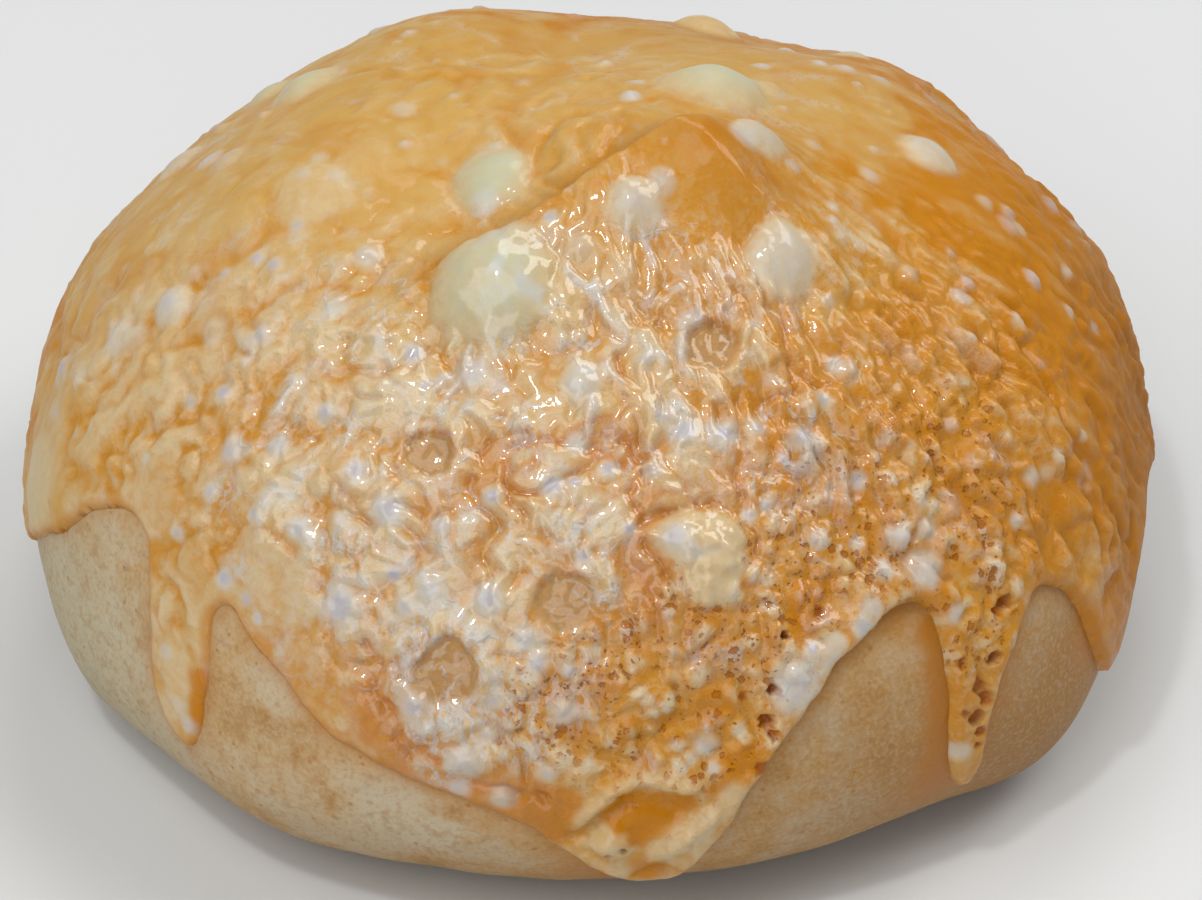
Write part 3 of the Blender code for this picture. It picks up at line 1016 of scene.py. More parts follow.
@dataclass
class CheeseCrust:
    """The melted slice, in mm. Patches say how far its areas are lumpy, smooth, filmy and so on.

    While it is shaped, skin, relief and layers hold what is known at each corner of its mesh.
    """

    form: Form
    edge: Edge
    finish: CheeseFinish = CheeseFinish()
    level: int = 4
    cuts: int = 14
    pull: float = 0.66
    finest: Place = (4, 62)  # the bearing and tilt that the mesh is drawn to, in degrees
    thickness: float = 0.9
    least: float = 0.25
    rim_width: float = 4.5
    rim_round: float = 1.3
    tuck: float = 1.5
    snap_share: float = 0.55
    pillow: float = 8.0
    wrinkle: float = 3.4
    pucker: float = 1.8
    pore: float = 1.9
    pit_depth: float = 1.6
    rims: tuple[Place, ...] = (
        (-180, 1.4), (-90, 1.2), (-72, 0.8), (-52, 0.6), (-41, 0.5), (-38, 0.5), (-8, 0.6), (-3, 1),
        (2, 2.1), (12, 2.1), (20, 1.7), (34, 1.7), (38, 1.1), (58, 1.1), (70, 1.5), (180, 1.5),
    )
    folds: tuple[Fold, ...] = (
        Fold(((70, 20, 0), (66, 16, 1.3), (58, 13, 2.3), (42, 11.7, 3.3), (27, 11.2, 3.3), (0.5, 13.3, 3.2),
            (-19, 17.2, 2.9), (-33, 22, 2.3), (-37, 28, 0)), 7, 1.6, brown=0.2),
        Fold(((36, 11.5, 0.6), (39, 14.5, 1.6), (41, 18, 1.8), (48, 22.5, 1.6), (50, 26, 1.3), (53, 31, 0)),
            3, 2.4),
        Fold(((-80, 35, 0), (-78, 28, 0.8), (-74, 20, 0.9), (-60, 16, 0)), 6, 3),
        Fold(((-1.2, 68, 0.2), (-0.6, 67, 0.6), (1.1, 65.2, 0.8), (3, 64.1, 0.9), (5.4, 63.5, 0.8),
            (7.7, 64.2, 0.8), (10.1, 64.6, 0.7), (12.6, 63, 0.2)), 0.9, 0.7, cream=0.8),
        Fold(((6.3, 70.6, 0.5), (8, 69.2, 1.2), (10, 68, 1.3), (12, 66.9, 1.2), (14, 65.2, 0.5)), 1.4, 1.2,
            cream=0.9),
    )
    blisters: tuple[tuple[Tint, tuple[Blister, ...]], ...] = (
        (Tint.GREEN, rows(
            Blister,
            (-19.5, 23.6, 4.9, 2.2, 0.9), (-74, 61, 4.5, 0.3, 0.4), (-44, 11.8, 3.3, 1.2, 1),
            (105, 10.6, 4.2, 2.1, 0.85), (-120, 30, 3, 1.1, 0.8), (-125, 37.6, 2.2, 0.6, 0.8),
        )),
        (Tint.WHITE, rows(
            Blister,
            (39.8, 24.2, 3, 1.6, 0.52), (11.8, 16.9, 2.1, 1.2, 0.42, 0.3), (-1.2, 31, 1.75, 1, 0.75),
            (61.8, 15, 2.3, 0.8, 0.42), (96.1, 29.7, 2.6, 0.9, 0.5), (-71, 39, 2, 0.7, 0.55, 0.5),
            (-110, 42, 2.4, 0.6, 0.35), (136, 36, 1.6, 0.5, 0.4), (-158, 40, 2.8, 0.9, 0.4),
            (-140, 52, 2.4, 0.7, 0.35), (135, 52, 2.6, 0.8, 0.35),
        )),
        (Tint.CREAM, rows(
            Blister,
            (108.7, 15.8, 1.6, 0.8), (11.2, 44.1, 2.2, 1), (14.5, 44.8, 2.2, 0.9), (13.4, 47.4, 2.4, 0.6),
            (2.2, 69.3, 1.7, 1.2, 0, 0.2), (-71, 24, 3, 0.5), (160, 34, 3.2, 1.4), (178, 58, 2.4, 0.7),
        )),
    )
    spots: tuple[Spot, ...] = rows(
        Spot,
        (-29.2, 30.5, 1, 0.8, 0.6), (-10.5, 17.3, 0.7, 0.5, 0.7), (-18.8, 30.9, 1.6, 0.7, 0.3),
        (-25, 33, 0.6, 0.5, 0.5), (-53, 40.5, 1, 0.5, 0.8), (-57, 43, 0.8, 0.5, 0.3),
        (-61.5, 37.5, 1.3, 0.6, 0), (-53.6, 35, 1.1, 0.55, 0.4), (-37.5, 37.7, 0.9, 0.9, 0.5),
        (-47, 44, 1.2, 0.8, 0.4), (-41.3, 41.8, 1.1, 0.8, 0.4), (-29.6, 41.2, 1, 0.9, 0.5),
        (-24, 43.5, 1.4, 0.9, 0.5), (-33.6, 47.2, 1.1, 0.9, 0.4), (-46.8, 47.8, 0.8, 0.8, 0.4),
        (-40.8, 53.6, 1, 0.9, 0.8), (-39.6, 47.6, 0.8, 0.5, 0.6), (-29.4, 45.3, 0.9, 0.4, 0.2),
        (-37.4, 54.3, 0.9, 0.35, 0.6), (-26.4, 52, 1.8, 0.85, 0.6), (-17, 49, 1.2, 0.8, 0.3),
        (-10.9, 49.1, 1.4, 0.9, 0.4), (-19.5, 50.7, 0.9, 0.7, 0.3), (-21.5, 48.4, 0.9, 0.5, 0.8),
        (-17.3, 43.9, 0.9, 0.8, 0.3), (-11.9, 40.9, 0.9, 0.6, 0.9), (-4.7, 39.7, 1.1, 0.9, 0.6),
        (-1.9, 39.4, 0.8, 0.5, 0.8), (-35.5, 55.4, 0.6, 0.7, 0.6), (13, 35.7, 1.4, 0.9, 0.5),
        (18.5, 36.3, 1.1, 0.9, 0.6), (10.9, 34.1, 1, 0.7, 0.1), (23.2, 36.4, 0.9, 0.45, 0.4),
        (28.5, 38.3, 1.2, 0.75, 0.5), (33.7, 35.8, 0.7, 0.5, 0.6), (38.5, 33.5, 0.8, 0.7, 0.1),
        (-1.7, 36.2, 0.9, 0.8, 0.1), (2.4, 38.3, 0.8, 0.6, 0.6), (4.6, 43.2, 0.7, 0.5, 0.9),
        (-0.7, 45.2, 0.8, 0.4, 0.6), (9.6, 44.2, 1.2, 0.8, 0.5), (18.9, 43.2, 0.7, 0.7, 0.4),
        (21.3, 42.7, 0.6, 0.6, 0.6), (8.1, 38.6, 0.8, 0.6, 0.2), (35.5, 48.3, 1, 0.85, 0.2),
        (32.3, 50.3, 0.8, 0.8, 0.1), (30.5, 47.6, 0.6, 0.6, 0.3), (8.7, 29.5, 0.9, 0.4, 0.3),
        (26.1, 46.5, 0.7, 0.5, 0.2), (33.7, 42.9, 0.9, 0.6, 0.5), (-6.6, 52.1, 1, 0.85, 0.3),
        (-5.2, 53.8, 1, 0.7, 0.5), (-2, 54.5, 0.6, 0.8, 0.6), (-9.2, 54.9, 0.6, 0.6, 0.1),
        (-9.3, 57.2, 0.7, 0.5, 0.6), (-10.5, 52, 0.6, 0.4, 0.3), (-13.5, 50.7, 0.8, 0.4, 0.3),
        (-2.3, 57.9, 1.1, 0.6, 0.2), (-17, 58.4, 1.5, 0.5, 0.5), (-11.8, 62.4, 1.4, 0.7, 0.2),
        (-12.3, 65.1, 1, 0.8, 0.2), (-8.1, 65.6, 1.1, 0.6, 0.1), (-9.8, 60.1, 0.8, 0.6, 0.2),
        (-3.9, 62.8, 0.8, 0.5, 0.4), (11.2, 61.3, 1, 0.6, 0.3), (11.6, 63, 0.5, 0.7, 0.2),
        (20.2, 57.3, 1.9, 0.9, 0.2), (24.4, 55.4, 1.2, 0.6, 0), (28.1, 54, 0.9, 0.9, 0.5),
        (29.8, 52.7, 0.8, 0.7, 0.1), (36.9, 51.6, 1.6, 0.75, 0.2), (39.1, 48.7, 1, 0.6, 0.2),
        (38.7, 55.9, 0.8, 0.7, 0.1), (45.4, 61.2, 0.7, 0.7, 0.1), (48.4, 60, 0.5, 0.8, 0.1),
        (37.4, 68.4, 0.9, 0.7, 0.1), (22.4, 54.6, 0.7, 0.6, 0.8), (25.1, 54.6, 0.9, 0.5, 0),
        (39.9, 46.3, 0.8, 0.6, 0.1), (-66, 26.7, 0.8, 0.6, 0.5), (-49.7, 24.4, 1.2, 0.6, 0.2),
        (-97, 32.3, 1.8, 0.6, 0.1), (-99, 15.9, 1, 0.6, 0.1), (-75.6, 24.2, 0.7, 0.6, 0.2),
        (-72, 21.9, 0.8, 0.7, 0.1), (-65.5, 30.8, 0.9, 0.5, 0.6), (-61.8, 30.1, 0.9, 0.5, 0.6),
        (-68, 33.7, 0.7, 0.5, 0.6), (79.8, 23.9, 0.9, 0.6, 0.3), (61.4, 22.6, 0.6, 0.6, 0.1),
        (120, 30, 1, 0.5, 0.6), (81, 18.6, 0.8, 0.4, 0.2), (-2.5, 19.7, 1.2, 0.4, 0),
        (89.3, 38.8, 0.9, 0.6, 0.1), (90, 35, 0.9, 0.4, 0.3), (69.9, 40.3, 0.9, 0.5, 0.3),
        (81, 45.1, 0.7, 0.7, 0.1), (88, 44.5, 0.7, 0.5, 0.3), (50, 52, 0.6, 0.6, 0.2),
        (55.6, 50.1, 0.8, 0.6, 0.1), (66, 51, 0.5, 0.6, 0.4), (59.8, 50.1, 0.6, 0.5, 0),
        (-74.6, 44.8, 1.8, 0.8, 0.1), (-72.5, 43.5, 1.3, 0.7, 0), (-81.5, 52.6, 1.6, 0.7, 0.8),
        (-75.3, 50.2, 0.9, 0.7, 0), (-71, 46.4, 0.6, 0.5, 0), (-76, 54.4, 0.9, 0.4, 0.4),
        (-70, 53, 0.6, 0.6, 0), (-48.7, 52.4, 0.7, 0.7, 0.4), (-57.4, 49, 0.5, 0.7, 0),
        (-42.3, 68.3, 0.9, 0.7, 0.2), (-43.5, 66.8, 0.8, 0.5, 0), (-46, 62.5, 0.8, 0.6, 0.1),
    )
    craters: tuple[Crater, ...] = rows(
        Crater,
        (-21.3, 38.3, 2, 0.55), (20.5, 29, 2.1, 0.45), (-2.5, 48.8, 2.4, 0.55), (-14.2, 55.4, 2.7, 0.6),
        (-170, 46, 2.4, 0.45), (122, 40, 2.4, 0.45),
    )
    pits: tuple[Patch, ...] = rows(
        Patch,
        (38.2, 60.2, 0.45), (42, 61, 0.55), (40, 63, 0.75), (40.6, 64.4, 0.7), (39.6, 65.9, 0.7),
        (40, 67.2, 0.55), (38, 64.8, 0.35), (39.7, 68.6, 0.3), (44.8, 57.2, 0.7), (43.6, 57.6, 0.4),
        (16.3, 63.5, 0.6), (17.2, 59.9, 0.55), (17.6, 61, 0.45), (18, 57.3, 0.4), (15.2, 57.6, 0.4),
        (24.4, 52, 0.45), (20, 53.1, 0.4), (1.7, 70.2, 0.35), (3, 69.6, 0.25),
    )
    creases: tuple[Crease, ...] = rows(
        Crease,
        (((-12, 34.3), (-15, 37.6), (-14, 38.8), (-15.5, 41), (-16.7, 42.3), (-18.6, 43.9)), 0.3, 0.9),
        (((-11.5, 37.7), (-10.5, 39.8), (-6.4, 40.2), (-3, 39.2), (-0.7, 37.9), (0.5, 36.4), (4.6, 36.2),
            (7, 37.9), (5, 40.6), (6.3, 43.4), (6.9, 45.5), (9.2, 47.8)), 0.38),
        (((-10.6, 39.8), (-9, 41.2), (-7.9, 42.6)), 0.35),
        (((4.9, 28.9), (5.6, 30.8), (6.3, 32.7), (6.9, 34), (6.6, 36.4)), 0.26, 0.8),
        (((8.2, 42.4), (12, 41.2), (15.7, 42), (18.1, 43.3), (19.5, 44.9), (19, 46.4)), 0.28, 0.8),
        (((20, 38.6), (18.3, 40.3), (18.9, 42.4)), 0.26, 0.7),
        (((34.3, 27.9), (33, 30), (30.7, 32.7), (31, 34.4), (25.7, 34.4)), 0.32, 0.7),
        (((33.2, 31.8), (33.2, 34.7), (36.5, 35)), 0.28, 0.7),
        (((-21.6, 57.5), (-19.7, 58.9), (-18.9, 60.5), (-17, 61.6), (-14.2, 62.6)), 0.55),
        (((-23.5, 54), (-21.5, 55.4), (-19.5, 56.8)), 0.3, 0.7),
        (((-20.2, 59.3), (-18.3, 62), (-15.6, 64)), 0.45, 0.9),
        (((-12.5, 64.6), (-8, 64.8), (-4, 65.3)), 0.45, 0.8),
        (((-32.8, 41.9), (-29.9, 43.5), (-26, 44.8)), 0.22, 0.6),
        (((-23.5, 42.7), (-20.4, 43.2)), 0.25, 0.7),
        (((43.5, 31.9), (38.5, 33.5), (36.5, 36.7)), 0.3, 0.6),
    )
    placed: tuple[Patch, ...] = rows(Patch, (-30, 44, 26), (15, 44, 26), (0, 62, 16), (-70, 36, 16))
    lumpy: tuple[Patch, ...] = rows(
        Patch,
        (36, 33, 9), (40, 42, 10), (52, 36, 12), (55, 50, 12), (72, 42, 13), (78, 56, 12), (62, 27, 9),
        (95, 50, 12), (40, 56, 6), (160, 60, 14), (-150, 60, 12), (120, 50, 10, 0.7),
    )
    filmy: tuple[Patch, ...] = rows(
        Patch,
        (-15, 38, 12), (5, 24, 9), (20, 22, 8), (-32, 44, 10), (0, 42, 10), (-20, 48, 8), (15, 36, 10),
        (-28, 56, 6), (-12, 62, 5, 0.7), (26, 53, 6, 0.6), (-45, 36, 9, 0.7), (-8, 30, 8), (32, 40, 7, 0.5),
        (170, 40, 14, 0.6), (-48, 23, 8, 0.45), (-58, 30, 7, 0.4),
    )
    porous: tuple[Patch, ...] = rows(
        Patch,
        (3, 54, 5), (12, 53, 6), (7, 60, 6), (15, 60, 4.5), (36, 44, 6), (46, 50, 7), (28, 47, 6),
        (40, 58, 5), (-5, 58, 4), (19, 49, 5), (52, 43, 5, 0.7), (170, 50, 10), (-130, 56, 8),
    )
    smooth: tuple[Patch, ...] = rows(
        Patch,
        (-85, 36, 14, 0.8), (-60, 18, 10, 0.7), (-120, 38, 18), (180, 28, 20), (130, 28, 16), (-76, 60, 8),
        (-42, 66, 6), (5, 67, 3, 0.5), (55, 18, 6), (100, 16, 12), (32, 13.5, 5, 0.6), (44, 15.5, 5, 0.6),
        (24, 18, 4, 0.4), (80, 24, 8), (66, 21, 6, 0.7), (-30, 53, 4, 0.6), (-36, 52, 4, 0.8),
        (-28, 60, 4, 0.8), (90, 36, 9, 0.7),
    )
    red: tuple[Patch, ...] = rows(
        Patch,
        (-6, 37, 5, 0.8), (3, 36, 5, 0.8), (7, 42, 3.5, 0.9), (9, 48, 3.5, 0.8), (-18, 43, 3.5, 0.7),
        (-20, 60.5, 3.5), (-15, 63.5, 3, 0.9), (-8, 64.5, 2.5, 0.7), (18, 42, 4, 0.4), (30, 34, 5, 0.3),
        (24, 38, 5, 0.2), (12, 51, 4, 0.5),
    )
    creamy: tuple[Patch, ...] = rows(
        Patch,
        (-25, 50, 9, 2), (-33, 44, 7, 0.8), (-2, 43.5, 5, 1.8), (-10, 47, 6, 1.3), (-58, 46, 10),
        (-18, 56, 6), (-46, 64, 5, 1.5), (-62, 40, 8, 0.8), (-27, 47, 7, 1.2), (-40, 38, 8, 0.8),
        (-38, 46, 8, 0.7), (24, 56, 5), (-14, 62, 6), (-70, 42, 9, 0.8), (-30, 36, 8, 0.6),
        (12, 40, 9, 0.8), (170, 44, 12, 0.7), (37, 58, 5), (0, 62, 7, 0.7), (22, 45, 7, 0.6),
    )
    amber: tuple[Patch, ...] = rows(
        Patch,
        # The amber patches from (60, 17) to (34, 12.5) are painted shade on the crest's right slope.
        (100, 58, 20, 1.6), (86, 45, 13, 1.4), (68, 58, 8), (74, 68, 10, 1.8), (60, 17, 5, 0.35),
        (50, 20.5, 4, 0.2), (42, 16.7, 4, 0.2), (34, 12.5, 5, 0.2), (72, 25, 6, 0.2), (-6, 66.5, 3, 1.2),
        (-10, 67, 2.2, 1.2), (-2.5, 66.3, 2, 1.2), (-14, 66, 1.8), (-18.4, 63.5, 1.6), (-20.8, 61, 1.6),
        (-22.4, 58.2, 1.3), (5, 71.7, 2, 0.9), (12.8, 64.2, 2, 1.3), (15.5, 62.6, 1.3), (50, 66, 4),
        (58, 70, 5, 1.5), (-100, 58, 12, 0.5), (-170, 34, 16, 0.6), (-40.8, 65.6, 1.2, 1.2),
        (-41, 67.6, 1, 1.2), (-41.5, 63.4, 1.2, 0.8), (130, 45, 18, 0.7), (82, 32, 7, 0.3),
        (-85, 62, 2.5, 0.8),
    )
    deep: tuple[Patch, ...] = rows(
        Patch,
        (-33, 57, 3, 0.35), (-41, 49, 3, 0.3), (-29, 59, 3, 0.5), (-48, 40, 4, 0.4), (40, 30, 8, 0.2),
        (60, 36, 10, 0.2), (50, 46, 8, 0.2), (22, 50, 5, 0.3), (5, 55, 7, 0.15), (30, 14, 7, 0.4),
        (12, 16, 7, 0.35), (45, 18, 7, 0.35), (-58, 36, 3, 0.3), (-22, 60, 4, 0.5), (12, 62, 4, 0.5),
    )
    toasted: tuple[Patch, ...] = rows(
        Patch,
        # The patches at (46, 18.5) and (34, 11.5) are painted shade on the crest's right slope; the rest are
        # toasted brown.
        (95, 56, 15, 0.8), (180, 40, 18, 0.4), (84, 68, 10, 0.8), (150, 30, 12, 0.3), (64, 68, 5, 0.5),
        (74, 56, 7, 0.45), (-5, 66.5, 2, 0.35), (130, 50, 14, 0.4), (46, 18.5, 3, 0.3), (34, 11.5, 3, 0.3),
        (52, 52, 6, 0.25), (-74, 61, 5, 0.25), (66, 60, 8, 0.3),
    )
    pools: tuple[Patch, ...] = rows(
        Patch,
        (5.7, 66.4, 2.2), (8.6, 66.8, 1.7), (3, 66.6, 1.8), (4.8, 68.6, 1.4), (24, 50.5, 2.2, 0.8),
        (22, 52.5, 1.8, 0.6), (6.5, 49.5, 1.6, 0.5),
    )
    # Patches of whitish film, partly painted highlight.
    veils: tuple[Patch, ...] = rows(
        Patch,
        (-18.5, 25.8, 2), (40, 25.5, 1.4, 0.6), (11, 18, 1.2, 0.7), (-74.5, 44.8, 1.6, 0.6),
        (-14.5, 27.8, 2, 0.9), (-29, 47, 1.7, 0.8), (-28, 51.5, 1.5, 0.7), (-14.5, 42.3, 1.6, 0.8),
        (-16, 45.3, 1.4, 0.8), (-15.5, 50.3, 1.5, 0.8), (-2, 42.6, 1.6, 0.7), (11.8, 33.4, 1.5, 0.8),
        (18.5, 37.3, 1.6, 0.7), (21, 40.5, 1.6, 0.7), (23, 44.6, 1.6, 0.7), (-17.6, 57, 2, 0.8),
        (-16.5, 60.8, 1.6, 0.8), (-34, 38.6, 1.6, 0.7), (-10.5, 35, 1.6, 0.7), (6.5, 37.2, 1.5, 0.7),
        (-4, 27.6, 1.2, 0.7), (-23.5, 36, 2.2, 0.7), (-18.5, 40, 1.8, 0.6), (16.5, 18.6, 1.3, 0.9),
        (0.5, 53.5, 1.5, 0.7), (-1.6, 57.3, 1.8, 0.8), (-5.5, 61.5, 1.3, 0.7), (-14.5, 64, 1.5, 0.7),
        (10.5, 53.8, 1.6, 0.6), (14.8, 54, 1.6, 0.7), (-45.5, 46.5, 1.6, 0.6), (-39.3, 52, 1.2, 0.8),
        (35.5, 48.8, 1.5, 0.8), (22.5, 55.8, 1.2, 0.8), (-33, 36.8, 1.3, 0.6), (-8, 37, 2.2, 0.6),
        (1.5, 35.5, 1.6, 0.6), (29, 53, 1.5, 0.7), (5, 24, 3, 0.4), (22, 25, 3, 0.4), (-12, 19.5, 2, 0.5),
        (14, 40, 2, 0.5), (27, 42, 2.2, 0.5), (170, 44, 5, 0.5), (42, 50, 2.2, 0.4), (-25, 50, 7, 0.45),
        (-12, 58, 6, 0.45), (0, 44, 6, 0.4), (-16, 53.5, 3.5, 0.7), (-13, 60, 3.5, 0.7), (20, 57, 2.2, 0.8),
        (-6, 57, 4, 0.5), (-11.8, 62.4, 1.6, 0.6), (-5.8, 52.8, 1.5, 0.6),
    )
    skin: Skin = field(init=False)
    relief: Array = field(init=False)
    layers: Layers = field(init=False)

    def along_slope(self, wide: float, long: float) -> Array:
        """Coordinates in which lumps that are longer down the slope are round.

        Args:
            wide: A lump's width, in mm.
            long: Its length down the slope, in mm.

        Returns:
            One row for each corner, to be read with a size of 1.
        """
        spread = 33.0 / wide
        turn = np.radians(self.skin.bearing)
        return np.stack([np.sin(turn) * spread, np.cos(turn) * spread, self.skin.reach / long], axis=1)

    def waves(self, seed: int, size: float) -> Array:
        """Soft noise at each corner, with waves of a size in mm."""
        return Grain(seed).waves(self.skin.points, size)

    def area(self, patches: tuple[Patch, ...]) -> Array:
        """How much each corner belongs to an area, from 0 to 1."""
        return self.form.area(self.skin.points, patches)

    def away(self, mark: Mark) -> Array:
        """The distance of each corner from a mark, in the mark's radii."""
        return self.form.away(self.skin.points, mark)

    def high(self) -> Array:
        """1 high up on the roll, easing to 0 down its sides."""
        return ease(24, 40, self.skin.points[:, 2])

    def shape(self, inside: Array) -> Array:
        """Work out the slice's relief and its colours.

        Args:
            inside: How far each corner lies inside the slice's edge, in mm.

        Returns:
            How far the top stands out from the roll's skin, in mm.
        """
        points, area, torn = self.skin.points, self.area, self.form.torn
        self.layers = Layers({name: np.zeros(len(points)) for name in ("green", "lilac", "pit", "floor")})
        self.layers.update(veil=area(self.veils), toast=area(self.toasted),
                           amber=torn(points, self.amber, size=4.0, seed=60),
                           pool=torn(points, self.pools, size=1.8, seed=64))
        self.relief = self.pillows()
        self.scatter()
        self.add_creases()
        self.add_spots()
        self.add_blisters()
        self.add_folds()
        self.add_craters()
        self.add_pits()
        return self.edged(inside)

    def pillows(self) -> Array:
        """Puff the slice up into pillows, lumps, wrinkles and strands of film, and colour them, with whites
        that are partly painted highlight.

        Returns:
            The relief in mm.
        """
        points, layers, waves, area = self.skin.points, self.layers, self.waves, self.area
        lumpy, smooth, filmy, sponge = map(area, (self.lumpy, self.smooth, self.filmy, self.porous))
        calm = 1 - 0.8 * smooth
        plain = calm * (1 - lumpy)
        bend, twist = drift(points, 5.0, 40), drift(points, 2.2, 50)
        bent = points + 1.8 * bend + 0.35 * twist
        big = np.abs(Grain(1).waves(bent, self.pillow))
        small = np.abs(Grain(2).waves(bent, self.wrinkle))
        tiny = np.abs(Grain(3).waves(points + 0.6 * bend + 0.5 * twist, self.pucker))
        relief = calm * (1 - 0.7 * lumpy) * (
            np.minimum(big, 0.6) - 0.3 + (0.6 - 0.3 * filmy) * (np.minimum(small, 0.5) - 0.25))
        relief += calm * (1 - 0.85 * filmy) * 0.30 * (tiny - 0.25)

        near, second, lot = Grain(7).spots(self.along_slope(1.8, 6.0) + 0.45 * bend + 0.15 * twist, 1.0)
        finer = self.along_slope(1.2, 3.0) + 0.4 * bend + 0.2 * twist
        near_small, second_small, _ = Grain(9).spots(finer, 1.0)
        dome = ease(1.0, 0.1, near) * (0.7 + 0.6 * lot)
        far = 1 - 0.6 * ease(62, 82, np.abs(self.skin.bearing))
        top = lumpy * far * ease(0.2, 0.9, dome)
        relief += lumpy * far * calm * (
            1.1 * (dome - 0.45) + 0.22 * ease(0.9, 0.1, near_small) + 0.3 * (small - 0.25))

        near_pore, second_pore, _ = Grain(25).spots(points + 0.5 * twist, self.pore)
        wall = bell(second_pore - near_pore, 0.45)
        bead = sponge * ease(0.55, 0.2, near_pore / self.pore)
        relief += sponge * (0.45 * (0.5 - near_pore / self.pore) - 0.2 * wall)

        flow = self.along_slope(2.5, 5.0) + 0.45 * bend + 0.2 * twist
        ridge = bell(Grain(4).waves(flow, 1.0), 0.30) * ease(-0.3, 0.2, waves(6, 6.0))
        ridge_small = bell(Grain(29).waves(1.6 * flow + 0.3 * twist, 1.0), 0.38)
        film = filmy * calm * ease(9, 17, self.skin.reach) * (ridge + 0.6 * ridge_small)
        relief += 0.40 * film

        gap = bell(second - near, 0.34) * ease(-0.3, 0.2, waves(11, 7.0))
        gap_small = bell(second_small - near_small, 0.28)
        crease = plain * bell(big, 0.11) * ease(-0.25, 0.25, waves(13, 9.0))
        branch = plain * bell(small, 0.18) * ease(-0.1, 0.4, waves(26, 5.0))
        relief -= 0.30 * lumpy * gap + 0.25 * crease + 0.2 * branch

        soft = 0.35 * bell(big, 0.25) + 0.3 * bell(small, 0.25)
        blotch = (Grain(30).waves(bent, 2.6) + 0.3 * waves(33, 1.1)) * (1 - 0.5 * smooth)
        haze = Grain(35).waves(self.along_slope(3.0, 6.0) + 0.5 * bend, 1.0)
        cloud = Grain(18).waves(bent, 5.0) + 0.5 * Grain(19).waves(bent, 2.2)
        patchy = ease(-0.35, 0.5, cloud)
        high = self.high() * ease(0.9, 0.3, filmy)
        front = ease(75, 45, np.abs(self.skin.bearing - 10)) * ease(12, 22, self.skin.reach)
        layers["valley"] = np.clip(
            0.7 * crease + 0.5 * branch + calm * soft + 0.42 * ease(0.1, 0.65, -blotch)
            + lumpy * (gap + 0.5 * gap_small) + 0.9 * sponge * wall + area(self.deep)
            + 0.16 * filmy - 0.4 * film - 0.7 * bead, 0, 1)
        layers["red"] = np.clip(area(self.red) * (
            0.9 * bell(big, 0.10) + 0.8 * bell(small, 0.15) + 0.1 * bell(big, 0.3)), 0, 1)
        layers["cream"] = np.clip(
            area(self.creamy) * ease(0.0, 0.35, big + 0.5 * small) * (0.7 + 0.6 * patchy)
            + 0.9 * top + 0.35 * film + 0.3 * patchy ** 2
            + 0.5 * ease(0.1, 0.6, blotch) * (1 - 0.5 * filmy) + bead, 0, 1)
        # White along the film strands: partly whitish film, partly painted highlight.
        layers["white"] = 0.46 * np.clip(film, 0, 1) ** 3 * ease(-0.2, 0.4, waves(34, 2.6))
        amber = np.clip(layers["amber"] * (1.1 - 0.35 * patchy) * (1 - 0.75 * top) + 0.5 * lumpy * gap
                        + 0.75 * sponge * ease(0.0, 0.6, -blotch), 0, 1)
        layers["amber"] = np.clip(amber + 0.34 * high * ease(0.0, 0.6, Grain(37).waves(bent, 4.2)), 0, 1)
        # The veil layer is whitish film and painted highlight: streaks on the film, and the tops of the
        # sponge's beads.
        layers.lay("veil", 0.45 * ease(0.25, 0.8, haze) * (1 - 0.7 * sponge) * (1 - 0.8 * layers["amber"]))
        layers.lay("veil", 0.7 * bead * ease(-0.2, 0.4, cloud))
        layers["film"] = np.clip(filmy * 1.3 - smooth, 0, 1) * ease(0.05, 0.4, waves(20, 3.6))
        layers["rough"] = np.clip(
            0.15 + 0.2 * high + (0.2 + 0.6 * front) * calm * (1 - 0.4 * lumpy) + 0.3 * filmy, 0, 1)
        layers["wet"] = np.clip(
            0.2 + 0.12 * high + 0.5 * filmy + 0.25 * front * (1 - 0.7 * lumpy) - 0.2 * smooth
            - 0.12 * np.clip(sponge - filmy, 0, 1) - 0.2 * ease(55, 80, np.abs(self.skin.bearing)), 0.04, 1)
        layers["pores"] = sponge * ease(-0.45, 0.1, waves(23, 2.6))
        return relief

    def scatter(self) -> None:
        """Scatter small pale bubbles over the slice, and more of them high up."""
        layers, high = self.layers, self.high()
        free = 1 - 0.75 * self.area(self.placed)
        sets = ((21, 6.0, 0.35, 0.36, 1), (22, 3.6, 0.35, 0.36, 1),
                (36, 4.6, 0.5, 0.75, high), (38, 7.0, 0.6, 0.8, high))
        for seed, size, keep, white, where in sets:
            near, _, lot = Grain(seed).spots(self.skin.points, size)
            share = np.clip(1 - lot / keep, 0, 1)
            away = near / (0.15 * size * (0.7 + 0.9 * share))
            dome = np.where(lot < keep, np.clip(1 - away * away, 0, 1), 0) * (1 - 0.7 * layers["pores"])
            dome *= where * free
            self.relief += 0.07 * size * dome
            layers.lay("white", white * dome ** 0.7 * (0.4 + 0.6 * share))
            layers.lay("lilac", 0.4 * ease(0.75, 0.98, dome) * ease(0.5, 0.8, share))
            layers.fade(("valley",), dome)

    def add_creases(self) -> None:
        """Sink the creases, red at the bottom and orange beside it."""
        bent = self.skin.points + 0.45 * drift(self.skin.points, 1.7, 70)
        breaks = ease(-0.5, 0.0, self.waves(73, 2.2))
        for crease in self.creases:
            away = path_gap(bent, self.form.place(*np.array(crease.knots, float).T))[0]
            line = crease.strength * breaks * bell(away, crease.width)
            glow = crease.strength * bell(away, 4 * crease.width)
            self.relief -= 0.55 * line + 0.12 * glow
            self.layers.lay("red", np.clip(1.2 * line + 0.25 * glow, 0, 1))
            self.layers.fade(("veil",), line)
            self.layers.fade(("white",), glow)
            self.layers.fade(("cream",), 0.6 * glow)

